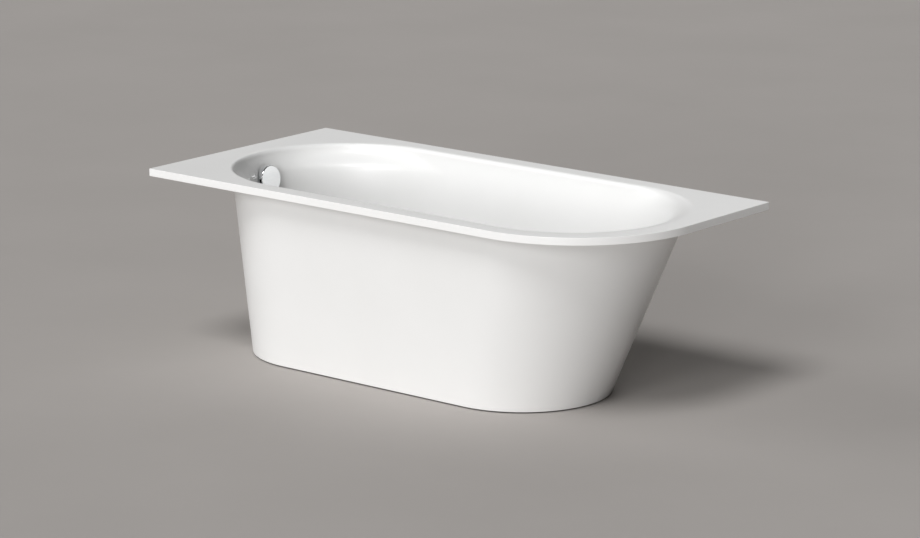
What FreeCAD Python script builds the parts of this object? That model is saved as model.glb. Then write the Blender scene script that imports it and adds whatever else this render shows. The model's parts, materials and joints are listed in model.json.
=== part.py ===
"""Built-in bathtub with a tapered apron, levelling legs and a pop-up waste worked by the overflow knob.

Millimetres. The origin is on the floor under the middle of the rim, +X along the tub towards the
sloping end, +Y towards the back wall, +Z up.
"""
import FreeCAD, Part
import math
import os
import Sketcher

Vector = FreeCAD.Vector

# Sections that round the basin's flare under the rim, and its floor
FLARE_STEPS = 5
FLOOR_STEPS = 5
DOME_STEPS = 4
LENGTH_MATCH = 0.01

DIMENSIONS = {
    # rim
    "rim_length": 1700, "rim_width": 800, "rim_height": 575, "rim_corner_radius": 400,
    "lip_height": 23, "lip_thickness": 5, "deck_thickness": 5,
    # basin mouth, measured in from the rim's edges
    "mouth_left_margin": 82, "mouth_side_margin": 54, "mouth_right_margin": 54,
    "mouth_nose_drop": 11, "mouth_flank_rise": 9, "mouth_round": 12,
    # belt, where the flare under the rim ends and the straight walls begin
    "belt_depth": 70, "belt_left_inset": 26, "belt_side_inset": 20, "end_roll_radius": 120,
    "belt_nose_drop": 116, "belt_flank_rise": 204,
    # basin floor, given where the straight walls would meet it
    "floor_height": 145, "floor_left_inset": 78, "floor_side_inset": 91, "floor_right_inset": 278,
    "floor_nose_drop": 55, "floor_flank_rise": 165, "floor_round": 90, "shell_wall": 5,
    # apron, a tapered oval tube that is open to the two walls
    "apron_thickness": 4, "apron_floor_gap": 4, "apron_basin_gap": 2,
    "apron_foot_side_margin": 132, "apron_foot_left_margin": 141, "apron_foot_right_margin": 323,
    "apron_top_side_margin": 36, "apron_top_left_margin": 100, "apron_top_right_margin": 77,
    "apron_left_end": 130, "apron_back_end": 1150,
    # base board and rim battens
    "board_start": 420, "board_end_gap": 137, "board_side_gap": 60, "board_thickness": 16,
    "board_corner_radius": 40,
    "batten_width": 26, "batten_thickness": 18, "batten_lip_gap": 2, "batten_end_gap": 3,
    # leg rails
    "left_rail_share": 0.125, "right_rail_share": 0.2, "rail_apron_gap": 44,
    "rail_width": 40, "rail_height": 45, "rail_wall": 3,
    "leg_end_gap": 30, "nut_plate_thickness": 8, "stem_clearance": 0.1,
    "rail_screw_diameter": 5, "rail_screw_edge": 40, "rail_screw_depth": 12,
    "screw_head_diameter": 9, "screw_head_height": 3,
    # levelling legs
    "stem_diameter": 12, "stem_top_gap": 4, "stem_socket_depth": 8,
    "collar_across": 19, "collar_height": 8, "lock_nut_across": 19, "lock_nut_height": 10,
    "pad_diameter": 60, "pad_top_diameter": 34, "pad_edge_height": 5, "pad_height": 14,
    # brackets
    "bracket_thickness": 3, "bracket_width": 60, "bracket_drop": 62, "bracket_reach": 30,
    "bracket_hole_diameter": 7, "bracket_hole_spacing": 36, "bracket_hole_drop": 37,
    "bracket_screw_diameter": 4, "bracket_screw_depth": 12,
    "back_bracket_spacing": 600, "back_bracket_start": 400, "left_bracket_place": 600,
    "tie_width": 30, "tie_height": 40, "tie_lap": 56, "tie_gap": 0.3, "end_tie_gap": 0.8,
    # overflow, on an axis square to the basin's left wall
    "overflow_drop": 84, "overflow_inset": 27, "overflow_tilt": 8,
    "seat_diameter": 90, "seat_boss_diameter": 104, "seat_boss_front": 6, "seat_back": 9,
    "overflow_hole_diameter": 46,
    "knob_diameter": 84, "knob_depth": 22, "knob_gap": 7, "knob_wall": 3, "knob_bevel": 2,
    "knob_hub_diameter": 18, "knob_hub_gap": 1, "knob_notch_width": 12, "knob_notch_length": 8,
    "plate_diameter": 70, "plate_thickness": 4, "plate_tube_length": 14, "plate_tube_wall": 2.5,
    "plate_hub_diameter": 16, "plate_hub_rise": 2, "plate_hole_diameter": 9, "plate_hole_ring": 28,
    "spindle_diameter": 8, "spindle_front": 16, "drum_diameter": 26, "drum_thickness": 8, "drum_gap": 2,
    "spindle_boss_diameter": 16, "spindle_boss_length": 9, "spindle_end_gap": 1,
    "overflow_gasket_thickness": 4, "overflow_flange_diameter": 66, "overflow_flange_thickness": 5,
    "cup_diameter": 56, "cup_wall": 3, "cup_depth": 40,
    "running_clearance": 0.08, "seat_clearance": 0.2,
    # overflow pipe and control cable
    "pipe_diameter": 32, "pipe_wall": 2, "pipe_bend_radius": 70, "pipe_insert": 22,
    "spigot_wall": 4, "spigot_length": 46, "pipe_nut_wall": 6, "pipe_nut_height": 18, "pipe_nut_lip": 4,
    "cable_diameter": 5, "cable_side": 60, "cable_top_bend": 20, "cable_low_bend": 55,
    "cable_end_bend": 40, "cable_rise": 24, "nipple_diameter": 10, "top_nipple_length": 8,
    "low_nipple_length": 18,
    "clip_width": 12, "clip_wall": 4, "clip_bridge": 10,
    # waste, on an upright axis through the basin floor
    "waste_place": 350, "waste_hole_diameter": 52,
    "flange_diameter": 70, "flange_thickness": 2.5, "flange_bevel": 1, "flange_tube_diameter": 48,
    "flange_tube_wall": 2.5, "flange_tube_length": 27, "spider_width": 18, "spider_thickness": 5,
    "waste_gasket_thickness": 3, "waste_body_diameter": 84, "waste_body_wall": 4,
    "waste_body_height": 59, "bridge_thickness": 8, "bridge_drop": 25, "bridge_lap": 1,
    "inlet_drop": 38, "inlet_length": 36,
    "clamp_screw_diameter": 12, "clamp_head_diameter": 20, "clamp_head_height": 5,
    "plug_diameter": 56, "plug_dome": 6, "plug_edge": 3, "plug_gap": 0.7,
    "plug_stem_diameter": 8, "plug_seal_thickness": 4, "plug_seal_gap": 0.4,
    "lever_arm": 22, "lever_thickness": 6, "lever_hub_diameter": 12, "lever_pin_diameter": 5,
    "lever_width": 10, "lever_gap": 0.4, "lever_rise": 7, "pin_seat": 2,
    # trap and outlet
    "tail_diameter": 44, "tail_wall": 3, "tail_length": 60, "trap_wall": 3, "trap_floor_gap": 10,
    "trap_nut_wall": 6, "trap_nut_height": 13,
    "outlet_diameter": 40, "outlet_wall": 2.5, "outlet_rise": 34, "outlet_reach": 90,
    "outlet_pipe_length": 150, "outlet_nut_wall": 6, "outlet_nut_length": 28,
    "outlet_bead_place": 50, "outlet_bead_width": 3, "outlet_bead_height": 2,
}


class Size:
    """A size with its value now and the spreadsheet expression that it comes from."""

    def __init__(self, value, text):
        self.value = value
        self.text = text

    def __add__(self, other):
        other = as_size(other)
        return Size(self.value + other.value, f"({self.text} + {other.text})")

    def __sub__(self, other):
        other = as_size(other)
        return Size(self.value - other.value, f"({self.text} - {other.text})")

    def __mul__(self, other):
        other = as_size(other)
        return Size(self.value * other.value, f"({self.text} * {other.text})")

    def __truediv__(self, other):
        other = as_size(other)
        return Size(self.value / other.value, f"({self.text} / {other.text})")

    def __radd__(self, other):
        return as_size(other) + self

    def __rsub__(self, other):
        return as_size(other) - self

    def __rmul__(self, other):
        return as_size(other) * self

    def __neg__(self):
        return Size(-self.value, f"(0 - {self.text})")


def as_size(number):
    """A plain number as a size."""
    if isinstance(number, Size):
        return number
    return Size(float(number), f"({number})")


def cosine(angle):
    """The cosine of an angle in degrees."""
    return Size(math.cos(math.radians(angle.value)), f"cos({angle.text} * 1deg)")


def sine(angle):
    """The sine of an angle in degrees."""
    return Size(math.sin(math.radians(angle.value)), f"sin({angle.text} * 1deg)")


def root(size):
    """The square root of a size."""
    return Size(math.sqrt(size.value), f"sqrt({size.text})")


def larger(first, second):
    """The larger of two sizes."""
    return Size(max(first.value, second.value), f"max({first.text}; {second.text})")


doc = FreeCAD.newDocument("bathtub")
sheet = doc.addObject("Spreadsheet::Sheet", "dims")
for row, (name, number) in enumerate(DIMENSIONS.items(), start=1):
    sheet.set(f"A{row}", name)
    sheet.set(f"B{row}", str(number))
    sheet.setAlias(f"B{row}", name)
doc.recompute()


def dim(name):
    """A driving dimension of the spreadsheet."""
    return Size(float(sheet.get(name)), f"dims.{name}")


# Small tools that bind objects to the sheet

def bind(thing, prop, size):
    thing.setExpression(prop, as_size(size).text)


def place(thing, x=0, y=0, z=0):
    """Puts an object's own origin at a point."""
    for axis, size in zip("xyz", (x, y, z)):
        bind(thing, f"Placement.Base.{axis}", size)
    return thing


def box(label, start, sizes):
    thing = doc.addObject("Part::Box", label)
    for prop, size in zip(("Length", "Width", "Height"), sizes):
        bind(thing, prop, size)
    return place(thing, *start)


AXIS_TURNS = {"x": (Vector(0, 1, 0), 90), "y": (Vector(1, 0, 0), -90), "z": (Vector(0, 0, 1), 0)}


def cylinder(label, start, diameter, length, axis="z"):
    """A round bar from a point along +X, +Y or +Z."""
    thing = doc.addObject("Part::Cylinder", label)
    bind(thing, "Radius", as_size(diameter) / 2)
    bind(thing, "Height", length)
    thing.Placement = FreeCAD.Placement(Vector(), FreeCAD.Rotation(*AXIS_TURNS[axis]))
    return place(thing, *start)


def hexagon(label, start, across, height):
    """An upright six-sided bar, measured across its flats."""
    thing = doc.addObject("Part::Prism", label)
    thing.Polygon = 6
    bind(thing, "Circumradius", as_size(across) / math.sqrt(3))
    bind(thing, "Height", height)
    return place(thing, *start)


def fuse(label, items):
    thing = doc.addObject("Part::MultiFuse", label)
    thing.Shapes = items
    return thing


def cut(label, base, tools):
    """The base less one tool or several."""
    thing = doc.addObject("Part::Cut", label)
    thing.Base = base
    thing.Tool = tools[0] if len(tools) == 1 else fuse(label + "_cutters", tools)
    return thing


def group(label, items):
    """Several separate solids in one node."""
    thing = doc.addObject("Part::Compound", label)
    thing.Links = items
    return thing


def new_sketch(body, name, role, offset=0):
    """A sketch on one of the body's own origin planes, moved along the plane's normal."""
    sketch = body.newObject("Sketcher::SketchObject", name)
    plane = next(item for item in body.Origin.OriginFeatures if item.Role == role)
    sketch.AttachmentSupport = [(plane, "")]
    sketch.MapMode = "FlatFace"
    bind(sketch, "AttachmentOffset.Base.z", offset)
    return sketch


def constrain(sketch, size, kind, *where):
    """Adds one measured constraint and binds it to the sheet."""
    size = as_size(size)
    index = sketch.addConstraint(Sketcher.Constraint(kind, *where, size.value))
    sketch.setExpression(f"Constraints[{index}]", size.text)


def polygon(sketch, points):
    """A closed outline of straight edges whose corners are bound to the sheet."""
    points = [(as_size(across), as_size(up)) for across, up in points]
    ends = points[1:] + points[:1]
    for start, end in zip(points, ends):
        line = Part.LineSegment(Vector(start[0].value, start[1].value), Vector(end[0].value, end[1].value))
        sketch.addGeometry(line, False)
    for index, (across, up) in enumerate(points):
        sketch.addConstraint(Sketcher.Constraint("Coincident", index, 2, (index + 1) % len(points), 1))
        constrain(sketch, across, "DistanceX", -1, 1, index, 1)
        constrain(sketch, up, "DistanceY", -1, 1, index, 1)


def turned(label, points):
    """A body turned about its own Z axis from (radius, height) corners."""
    body = doc.addObject("PartDesign::Body", label)
    sketch = new_sketch(body, label + "_profile", "XZ_Plane")
    polygon(sketch, points)
    revolution = body.newObject("PartDesign::Revolution", label + "_turn")
    revolution.Profile = sketch
    revolution.ReferenceAxis = (sketch, ["V_Axis"])
    revolution.Angle = 360
    return body


def extruded(label, role, points, length):
    """A body padded evenly to both sides of one of its origin planes."""
    body = doc.addObject("PartDesign::Body", label)
    sketch = new_sketch(body, label + "_outline", role)
    polygon(sketch, points)
    pad = body.newObject("PartDesign::Pad", label + "_pad")
    pad.Profile = sketch
    pad.SideType = "Symmetric"
    bind(pad, "Length", length)
    return body


def ring(label, inner, outer, low, high):
    """A turned ring, sizes given as diameters and heights."""
    inner = as_size(inner) / 2
    outer = as_size(outer) / 2
    return turned(label, [(inner, low), (outer, low), (outer, high), (inner, high)])


def disc(label, diameter, low, high):
    """A turned disc."""
    radius = as_size(diameter) / 2
    return turned(label, [(0, low), (radius, low), (radius, high), (0, high)])


# Levels and edges that many pieces share

rim_left = -dim("rim_length") / 2
rim_back = dim("rim_width") / 2
rim_top = dim("rim_height")
deck_under = rim_top - dim("deck_thickness")
lip_under = rim_top - dim("lip_height")
floor_top = dim("floor_height")
floor_under = floor_top - dim("shell_wall")
board_under = floor_under - dim("board_thickness")
rail_under = board_under - dim("rail_height")


# Basin outlines: straight sides, a half circle at the right end and a three-centred left end

def blend(start, end, share):
    """The outline a share of the way from one outline to another."""
    return {key: start[key] + (end[key] - start[key]) * share for key in start}


def leaned(outline, start, end, share):
    """An outline moved by a share of the way between two others."""
    return {key: outline[key] + (end[key] - start[key]) * share for key in outline}


def grown(outline, distance):
    """The parallel outline a distance further out."""
    signs = {"left": -1, "right": 1, "half": 1, "nose": 1, "flank": 1}
    return {key: outline[key] + distance * signs[key] for key in outline}


def end_roll(drop, offset):
    """How far the right end has rolled inwards at a drop below the rim, moved outwards by an offset."""
    radius = dim("end_roll_radius") - offset
    depth = drop - offset
    return root(radius * depth * 2 - depth * depth)


mouth_outline = {
    "left": rim_left + dim("mouth_left_margin"),
    "right": -rim_left - dim("mouth_right_margin"),
    "half": rim_back - dim("mouth_side_margin"),
}
belt_outline = {
    "left": mouth_outline["left"] + dim("belt_left_inset"),
    "right": mouth_outline["right"] - end_roll(dim("belt_depth"), as_size(0)),
    "half": mouth_outline["half"] - dim("belt_side_inset"),
}
floor_outline = {
    "left": mouth_outline["left"] + dim("floor_left_inset"),
    "right": mouth_outline["right"] - dim("floor_right_inset"),
    "half": mouth_outline["half"] - dim("floor_side_inset"),
}
for level, outline in (("mouth", mouth_outline), ("belt", belt_outline), ("floor", floor_outline)):
    outline["nose"] = outline["half"] - dim(f"{level}_nose_drop")
    outline["flank"] = outline["half"] + dim(f"{level}_flank_rise")


def basin_levels(offset):
    """Height and outline of each section of the basin's inner surface, moved outwards by an offset."""
    levels = []
    if offset.value > 0:
        levels.append((rim_top, mouth_outline))
    for turn in (0, 45, 90):
        lean = math.radians(turn)
        inset = (dim("mouth_round") - offset) * math.sin(lean)
        drop = dim("mouth_round") * (1 - math.cos(lean)) + offset * math.cos(lean)
        outline = grown(mouth_outline, -inset)
        outline["right"] = mouth_outline["right"] - end_roll(drop, offset)
        levels.append((rim_top - drop, outline))
    flare_top = rim_top - dim("mouth_round")
    flare_outline = grown(mouth_outline, offset - dim("mouth_round"))
    belt_height = rim_top - dim("belt_depth")
    flare_to_wall = (flare_top - belt_height) / (belt_height - floor_top)
    for step in range(1, FLARE_STEPS + 1):
        down = step / FLARE_STEPS
        eased = blend(flare_outline, grown(belt_outline, offset), down ** 2 * (3 - 2 * down))
        outline = leaned(eased, belt_outline, floor_outline, flare_to_wall * (down ** 3 - down ** 2))
        height = flare_top - (flare_top - belt_height) * down
        outline["right"] = mouth_outline["right"] - end_roll(rim_top - height, offset)
        levels.append((height, outline))
    for step in range(FLOOR_STEPS + 1):
        lean = math.pi / 2 * step / FLOOR_STEPS
        rise = dim("floor_round") * (1 - math.sin(lean))
        share = (belt_height - floor_top - rise) / (belt_height - floor_top)
        wall = blend(belt_outline, floor_outline, share)
        inset = dim("floor_round") * (1 - math.cos(lean))
        outline = grown(wall, offset * math.cos(lean) - inset)
        levels.append((floor_top + rise - offset * math.sin(lean), outline))
    return levels


def basin_sketch(body, name, height, outline):
    """One section of the basin: nose, flanks, straight sides and right end."""
    sketch = new_sketch(body, name, "XY_Plane", height)
    nose = outline["nose"].value
    flank = outline["flank"].value
    half = outline["half"].value
    nose_x = outline["left"].value + nose
    end_x = outline["right"].value - half
    flank_x = nose_x + math.sqrt((flank - nose) ** 2 - (flank - half) ** 2)
    join = math.atan2(flank - half, flank_x - nose_x)
    quarter = math.pi / 2
    up = Vector(0, 0, 1)
    circles = {
        "nose": Part.Circle(Vector(nose_x, 0), up, nose),
        "front": Part.Circle(Vector(flank_x, flank - half), up, flank),
        "back": Part.Circle(Vector(flank_x, half - flank), up, flank),
        "end": Part.Circle(Vector(end_x, 0), up, half),
    }
    sketch.addGeometry([
        Part.ArcOfCircle(circles["nose"], math.pi - join, math.pi + join),
        Part.ArcOfCircle(circles["front"], math.pi + join, 3 * quarter),
        Part.LineSegment(Vector(flank_x, -half), Vector(end_x, -half)),
        Part.ArcOfCircle(circles["end"], -quarter, 0),
        Part.ArcOfCircle(circles["end"], 0, quarter),
        Part.LineSegment(Vector(end_x, half), Vector(flank_x, half)),
        Part.ArcOfCircle(circles["back"], quarter, math.pi - join),
    ], False)
    nose_arc, front_arc, front_line, front_end, back_end, back_line, back_arc = range(7)
    order = (nose_arc, front_arc, front_line, front_end, back_end, back_line, back_arc)
    for this, following in zip(order, order[1:] + order[:1]):
        sketch.addConstraint(Sketcher.Constraint("Tangent", this, 2, following, 1))
    on_x_axis = -1
    for line in (front_line, back_line):
        sketch.addConstraint(Sketcher.Constraint("Horizontal", line))
    sketch.addConstraint(Sketcher.Constraint("PointOnObject", nose_arc, 3, on_x_axis))
    sketch.addConstraint(Sketcher.Constraint("PointOnObject", front_end, 3, on_x_axis))
    sketch.addConstraint(Sketcher.Constraint("PointOnObject", front_end, 2, on_x_axis))
    sketch.addConstraint(Sketcher.Constraint("Equal", front_end, back_end))
    sketch.addConstraint(Sketcher.Constraint("Equal", front_arc, back_arc))
    constrain(sketch, outline["nose"], "Radius", nose_arc)
    constrain(sketch, outline["flank"], "Radius", front_arc)
    constrain(sketch, outline["half"], "Radius", front_end)
    constrain(sketch, outline["left"] + outline["nose"], "DistanceX", -1, 1, nose_arc, 3)
    constrain(sketch, outline["right"] - outline["half"], "DistanceX", -1, 1, front_end, 3)
    return sketch


def basin_loft(body, kind, name, offset):
    """A loft through the basin's sections, added to a body or taken from it."""
    sections = []
    for index, (height, outline) in enumerate(basin_levels(offset)):
        sections.append(basin_sketch(body, f"{name}_{index}", height, outline))
    loft = body.newObject(kind, name)
    loft.Profile = sections[0]
    loft.Sections = sections[1:]
    loft.Ruled = True
    return loft


# Tub shell: deck with a turned-down lip, and the basin

def rim_sketch(body, name, height, inset):
    """The rim's outline: a rectangle whose front right corner is a quarter circle."""
    sketch = new_sketch(body, name, "XY_Plane", height)
    left = (rim_left + inset).value
    right = (-rim_left - inset).value
    back = (rim_back - inset).value
    radius = (dim("rim_corner_radius") - inset).value
    corner = Part.Circle(Vector(right - radius, radius - back), Vector(0, 0, 1), radius)
    sketch.addGeometry([
        Part.LineSegment(Vector(left, -back), Vector(right - radius, -back)),
        Part.ArcOfCircle(corner, -math.pi / 2, 0),
        Part.LineSegment(Vector(right, radius - back), Vector(right, back)),
        Part.LineSegment(Vector(right, back), Vector(left, back)),
        Part.LineSegment(Vector(left, back), Vector(left, -back)),
    ], False)
    front, arc, end, rear, wall = range(5)
    sketch.addConstraint(Sketcher.Constraint("Tangent", front, 2, arc, 1))
    sketch.addConstraint(Sketcher.Constraint("Tangent", arc, 2, end, 1))
    for this, following in ((end, rear), (rear, wall), (wall, front)):
        sketch.addConstraint(Sketcher.Constraint("Coincident", this, 2, following, 1))
    for line in (front, rear):
        sketch.addConstraint(Sketcher.Constraint("Horizontal", line))
    for line in (end, wall):
        sketch.addConstraint(Sketcher.Constraint("Vertical", line))
    constrain(sketch, rim_left + inset, "DistanceX", -1, 1, front, 1)
    constrain(sketch, inset - rim_back, "DistanceY", -1, 1, front, 1)
    constrain(sketch, -rim_left - inset, "DistanceX", -1, 1, end, 2)
    constrain(sketch, rim_back - inset, "DistanceY", -1, 1, end, 2)
    constrain(sketch, dim("rim_corner_radius") - inset, "Radius", arc)
    return sketch


shell = doc.addObject("PartDesign::Body", "shell_moulding")
deck = shell.newObject("PartDesign::Pad", "deck")
deck.Profile = rim_sketch(shell, "deck_outline", lip_under, as_size(0))
bind(deck, "Length", dim("lip_height"))
hollow = shell.newObject("PartDesign::Pocket", "deck_hollow")
hollow.Profile = rim_sketch(shell, "deck_hollow_outline", lip_under, dim("lip_thickness"))
hollow.Reversed = True
bind(hollow, "Length", dim("lip_height") - dim("deck_thickness"))
basin_loft(shell, "PartDesign::AdditiveLoft", "basin_outside", dim("shell_wall"))
basin_hollow = doc.addObject("PartDesign::Body", "basin_hollow")
basin_loft(basin_hollow, "PartDesign::AdditiveLoft", "basin_inside", as_size(0))


# Overflow axis: it leaves the seat on the basin's left wall at right angles

overflow_x = mouth_outline["left"] + dim("overflow_inset")
overflow_z = rim_top - dim("overflow_drop")


def on_overflow_axis(thing):
    """Turns a piece's Z axis onto the overflow axis, with its zero on the seat and +Z into the basin."""
    thing.Placement = FreeCAD.Placement(Vector(), FreeCAD.Rotation(Vector(0, 1, 0), 90))
    bind(thing, "Placement.Rotation.Angle", 90 - dim("overflow_tilt"))
    return place(thing, overflow_x, 0, overflow_z)


def overflow_point(along):
    """X and Z of a point on the overflow axis."""
    return overflow_x + along * cosine(dim("overflow_tilt")), overflow_z + along * sine(dim("overflow_tilt"))


waste_x = rim_left + dim("waste_place")


def on_waste_axis(thing):
    """Stands a piece on the waste's axis, its heights being those of the whole tub."""
    return place(thing, waste_x)


seat_clear = dim("seat_diameter") / 2
seat_boss = on_overflow_axis(
    disc("seat_boss", dim("seat_boss_diameter"), -dim("seat_back"), dim("seat_boss_front"))
)
seat_front = on_overflow_axis(disc("seat_front", dim("seat_diameter"), 0, dim("knob_depth")))
overflow_hole = on_overflow_axis(
    disc("overflow_hole", dim("overflow_hole_diameter"), -seat_clear, seat_clear)
)
waste_hole = on_waste_axis(disc("waste_hole", dim("waste_hole_diameter"), board_under, rim_top))
seated_shell = fuse("seated_shell", [shell, seat_boss])
tub_shell = cut("tub_shell", seated_shell, [basin_hollow, seat_front, overflow_hole, waste_hole])


# Apron: a straight taper between two ovals, cut open towards the walls and trimmed under the flare

def oval_sketch(body, name, height, left, right, radius):
    """Two half circles joined by straight sides."""
    sketch = new_sketch(body, name, "XY_Plane", height)
    up = Vector(0, 0, 1)
    quarter = math.pi / 2
    left_circle = Part.Circle(Vector(left.value, 0), up, radius.value)
    right_circle = Part.Circle(Vector(right.value, 0), up, radius.value)
    sketch.addGeometry([
        Part.ArcOfCircle(left_circle, quarter, 3 * quarter),
        Part.LineSegment(Vector(left.value, -radius.value), Vector(right.value, -radius.value)),
        Part.ArcOfCircle(right_circle, -quarter, quarter),
        Part.LineSegment(Vector(right.value, radius.value), Vector(left.value, radius.value)),
    ], False)
    left_arc, front, right_arc, rear = range(4)
    order = (left_arc, front, right_arc, rear)
    for this, following in zip(order, order[1:] + order[:1]):
        sketch.addConstraint(Sketcher.Constraint("Tangent", this, 2, following, 1))
    sketch.addConstraint(Sketcher.Constraint("PointOnObject", left_arc, 3, -1))
    sketch.addConstraint(Sketcher.Constraint("Horizontal", front))
    sketch.addConstraint(Sketcher.Constraint("Horizontal", rear))
    constrain(sketch, radius, "Radius", left_arc)
    constrain(sketch, left, "DistanceX", -1, 1, left_arc, 3)
    constrain(sketch, right, "DistanceX", -1, 1, right_arc, 3)
    return sketch


def apron_oval(level):
    """X of the two centres, and the radius, of the apron's outline at its foot or top."""
    radius = rim_back - dim(f"apron_{level}_side_margin")
    left = rim_left + dim(f"apron_{level}_left_margin") + radius
    right = -rim_left - dim(f"apron_{level}_right_margin") - radius
    return left, right, radius


def apron_loft(body, kind, name, inset):
    """The taper from the apron's foot to its top, moved inwards by an inset."""
    loft = body.newObject(kind, name)
    ends = []
    for level, height in (("foot", dim("apron_floor_gap")), ("top", deck_under)):
        left, right, radius = apron_oval(level)
        ends.append(oval_sketch(body, f"{name}_{level}", height, left, right, radius - inset))
    loft.Profile = ends[0]
    loft.Sections = ends[1:]
    loft.Ruled = True
    return loft


def apron_share(height):
    """How far up the apron's taper a height lies, from 0 at the foot to 1 at the top."""
    return (height - dim("apron_floor_gap")) / (deck_under - dim("apron_floor_gap"))


def apron_right_end(height):
    """X of the centre, and the inside radius, of the apron's right end at a height."""
    foot_radius = apron_oval("foot")[2]
    foot_x = apron_oval("foot")[1]
    radius = foot_radius + (apron_oval("top")[2] - foot_radius) * apron_share(height)
    centre = foot_x + (apron_oval("top")[1] - foot_x) * apron_share(height)
    return centre, radius - dim("apron_thickness")


def apron_inside_front(x, height):
    """Distance of the apron's inside face from the middle of the tub, at an X and a height."""
    centre, radius = apron_right_end(height)
    past_centre = larger(as_size(0), x - centre)
    return root(radius * radius - past_centre * past_centre)


skirt = doc.addObject("PartDesign::Body", "skirt")
apron_loft(skirt, "PartDesign::AdditiveLoft", "skirt_outside", as_size(0))
apron_loft(skirt, "PartDesign::SubtractiveLoft", "skirt_inside", dim("apron_thickness"))
basin_loft(skirt, "PartDesign::SubtractiveLoft", "basin_room", dim("shell_wall") + dim("apron_basin_gap"))
wall_side = box(
    "wall_side",
    (rim_left, -dim("apron_left_end"), 0),
    (dim("apron_back_end"), dim("apron_left_end") + rim_back, rim_top),
)
apron = cut("apron", skirt, [wall_side])
doc.recompute()


# Base board, bonded to the flat underside of the basin floor

rail_half = apron_oval("foot")[2] - dim("apron_thickness") - dim("rail_apron_gap")
board_half = rail_half - dim("board_side_gap")
board_left = rim_left + dim("board_start")
board_length = -rim_left - dim("apron_foot_right_margin") - dim("board_end_gap") - board_left
board_blank = box(
    "board_blank",
    (board_left, -board_half, board_under),
    (board_length, board_half * 2, dim("board_thickness")),
)
doc.recompute()
board_rounding = doc.addObject("Part::Fillet", "board_rounding")
board_rounding.Base = board_blank
upright_edges = [
    number for number, edge in enumerate(board_blank.Shape.Edges, start=1)
    if abs(edge.BoundBox.ZLength - dim("board_thickness").value) < LENGTH_MATCH
]
corner_radius = dim("board_corner_radius").value
board_rounding.Edges = [(number, corner_radius, corner_radius) for number in upright_edges]


# Rim battens, bonded under the deck beside the lip

batten_low = deck_under - dim("batten_thickness")
batten_back = rim_back - dim("lip_thickness") - dim("batten_lip_gap")
batten_front = batten_back - dim("batten_width")
batten_side = rim_left + dim("lip_thickness") + dim("batten_lip_gap")
back_batten_blank = box(
    "back_batten_blank",
    (batten_side, batten_front, batten_low),
    (-batten_side * 2, dim("batten_width"), dim("batten_thickness")),
)
left_batten_blank = box(
    "left_batten_blank",
    (batten_side, -batten_back, batten_low),
    (dim("batten_width"), batten_back + batten_front - dim("batten_end_gap"), dim("batten_thickness")),
)


# Wall brackets: a plate on the wall and an arm under the batten, each with two holes

def back_bracket(name, middle):
    """A bracket on the back wall, its two screws, and the holes that these need in the batten."""
    start = middle - dim("bracket_width") / 2
    arm = box(
        name + "_arm",
        (start, rim_back - dim("bracket_reach"), batten_low - dim("bracket_thickness")),
        (dim("bracket_width"), dim("bracket_reach"), dim("bracket_thickness")),
    )
    plate = box(
        name + "_plate",
        (start, rim_back - dim("bracket_thickness"), batten_low - dim("bracket_drop")),
        (dim("bracket_width"), dim("bracket_thickness"), dim("bracket_drop")),
    )
    holes = []
    screws = []
    pilots = []
    for side, share in (("left", -0.5), ("right", 0.5)):
        x = middle + dim("bracket_hole_spacing") * share
        holes.append(cylinder(
            f"{name}_{side}_wall_hole",
            (x, rim_back - dim("bracket_reach"), batten_low - dim("bracket_hole_drop")),
            dim("bracket_hole_diameter"), dim("bracket_reach"), "y",
        ))
        screw, pilot = batten_screw(f"{name}_{side}", x, batten_front + dim("batten_width") / 2)
        screws.append(screw)
        pilots.append(pilot)
    bent = fuse(name + "_bent", [arm, plate])
    return cut(name, bent, holes + pilots), screws, pilots


def batten_screw(name, x, y):
    """A screw up through a bracket's arm into a batten, and the hole that it fills."""
    arm_low = batten_low - dim("bracket_thickness")
    length = dim("bracket_thickness") + dim("bracket_screw_depth")
    shank = cylinder(name + "_shank", (x, y, arm_low), dim("bracket_screw_diameter"), length)
    head = cylinder(
        name + "_head", (x, y, arm_low - dim("screw_head_height")),
        dim("screw_head_diameter"), dim("screw_head_height"),
    )
    pilot = cylinder(
        name + "_pilot", (x, y, arm_low),
        dim("bracket_screw_diameter") + dim("running_clearance") * 2, length + dim("running_clearance"),
    )
    return fuse(name + "_screw", [head, shank]), pilot


def left_bracket(name, middle):
    """The bracket on the wall at the tub's left end."""
    arm = box(
        name + "_arm",
        (rim_left, middle - dim("bracket_width") / 2, batten_low - dim("bracket_thickness")),
        (dim("bracket_reach"), dim("bracket_width"), dim("bracket_thickness")),
    )
    plate = box(
        name + "_plate",
        (rim_left, middle - dim("bracket_width") / 2, batten_low - dim("bracket_drop")),
        (dim("bracket_thickness"), dim("bracket_width"), dim("bracket_drop")),
    )
    holes = []
    screws = []
    pilots = []
    for side, share in (("front", -0.5), ("rear", 0.5)):
        y = middle + dim("bracket_hole_spacing") * share
        holes.append(cylinder(
            f"{name}_{side}_wall_hole", (rim_left, y, batten_low - dim("bracket_hole_drop")),
            dim("bracket_hole_diameter"), dim("bracket_reach"), "x",
        ))
        screw, pilot = batten_screw(f"{name}_{side}", batten_side + dim("batten_width") / 2, y)
        screws.append(screw)
        pilots.append(pilot)
    bent = fuse(name + "_bent", [arm, plate])
    return cut(name, bent, holes + pilots), screws, pilots


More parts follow.
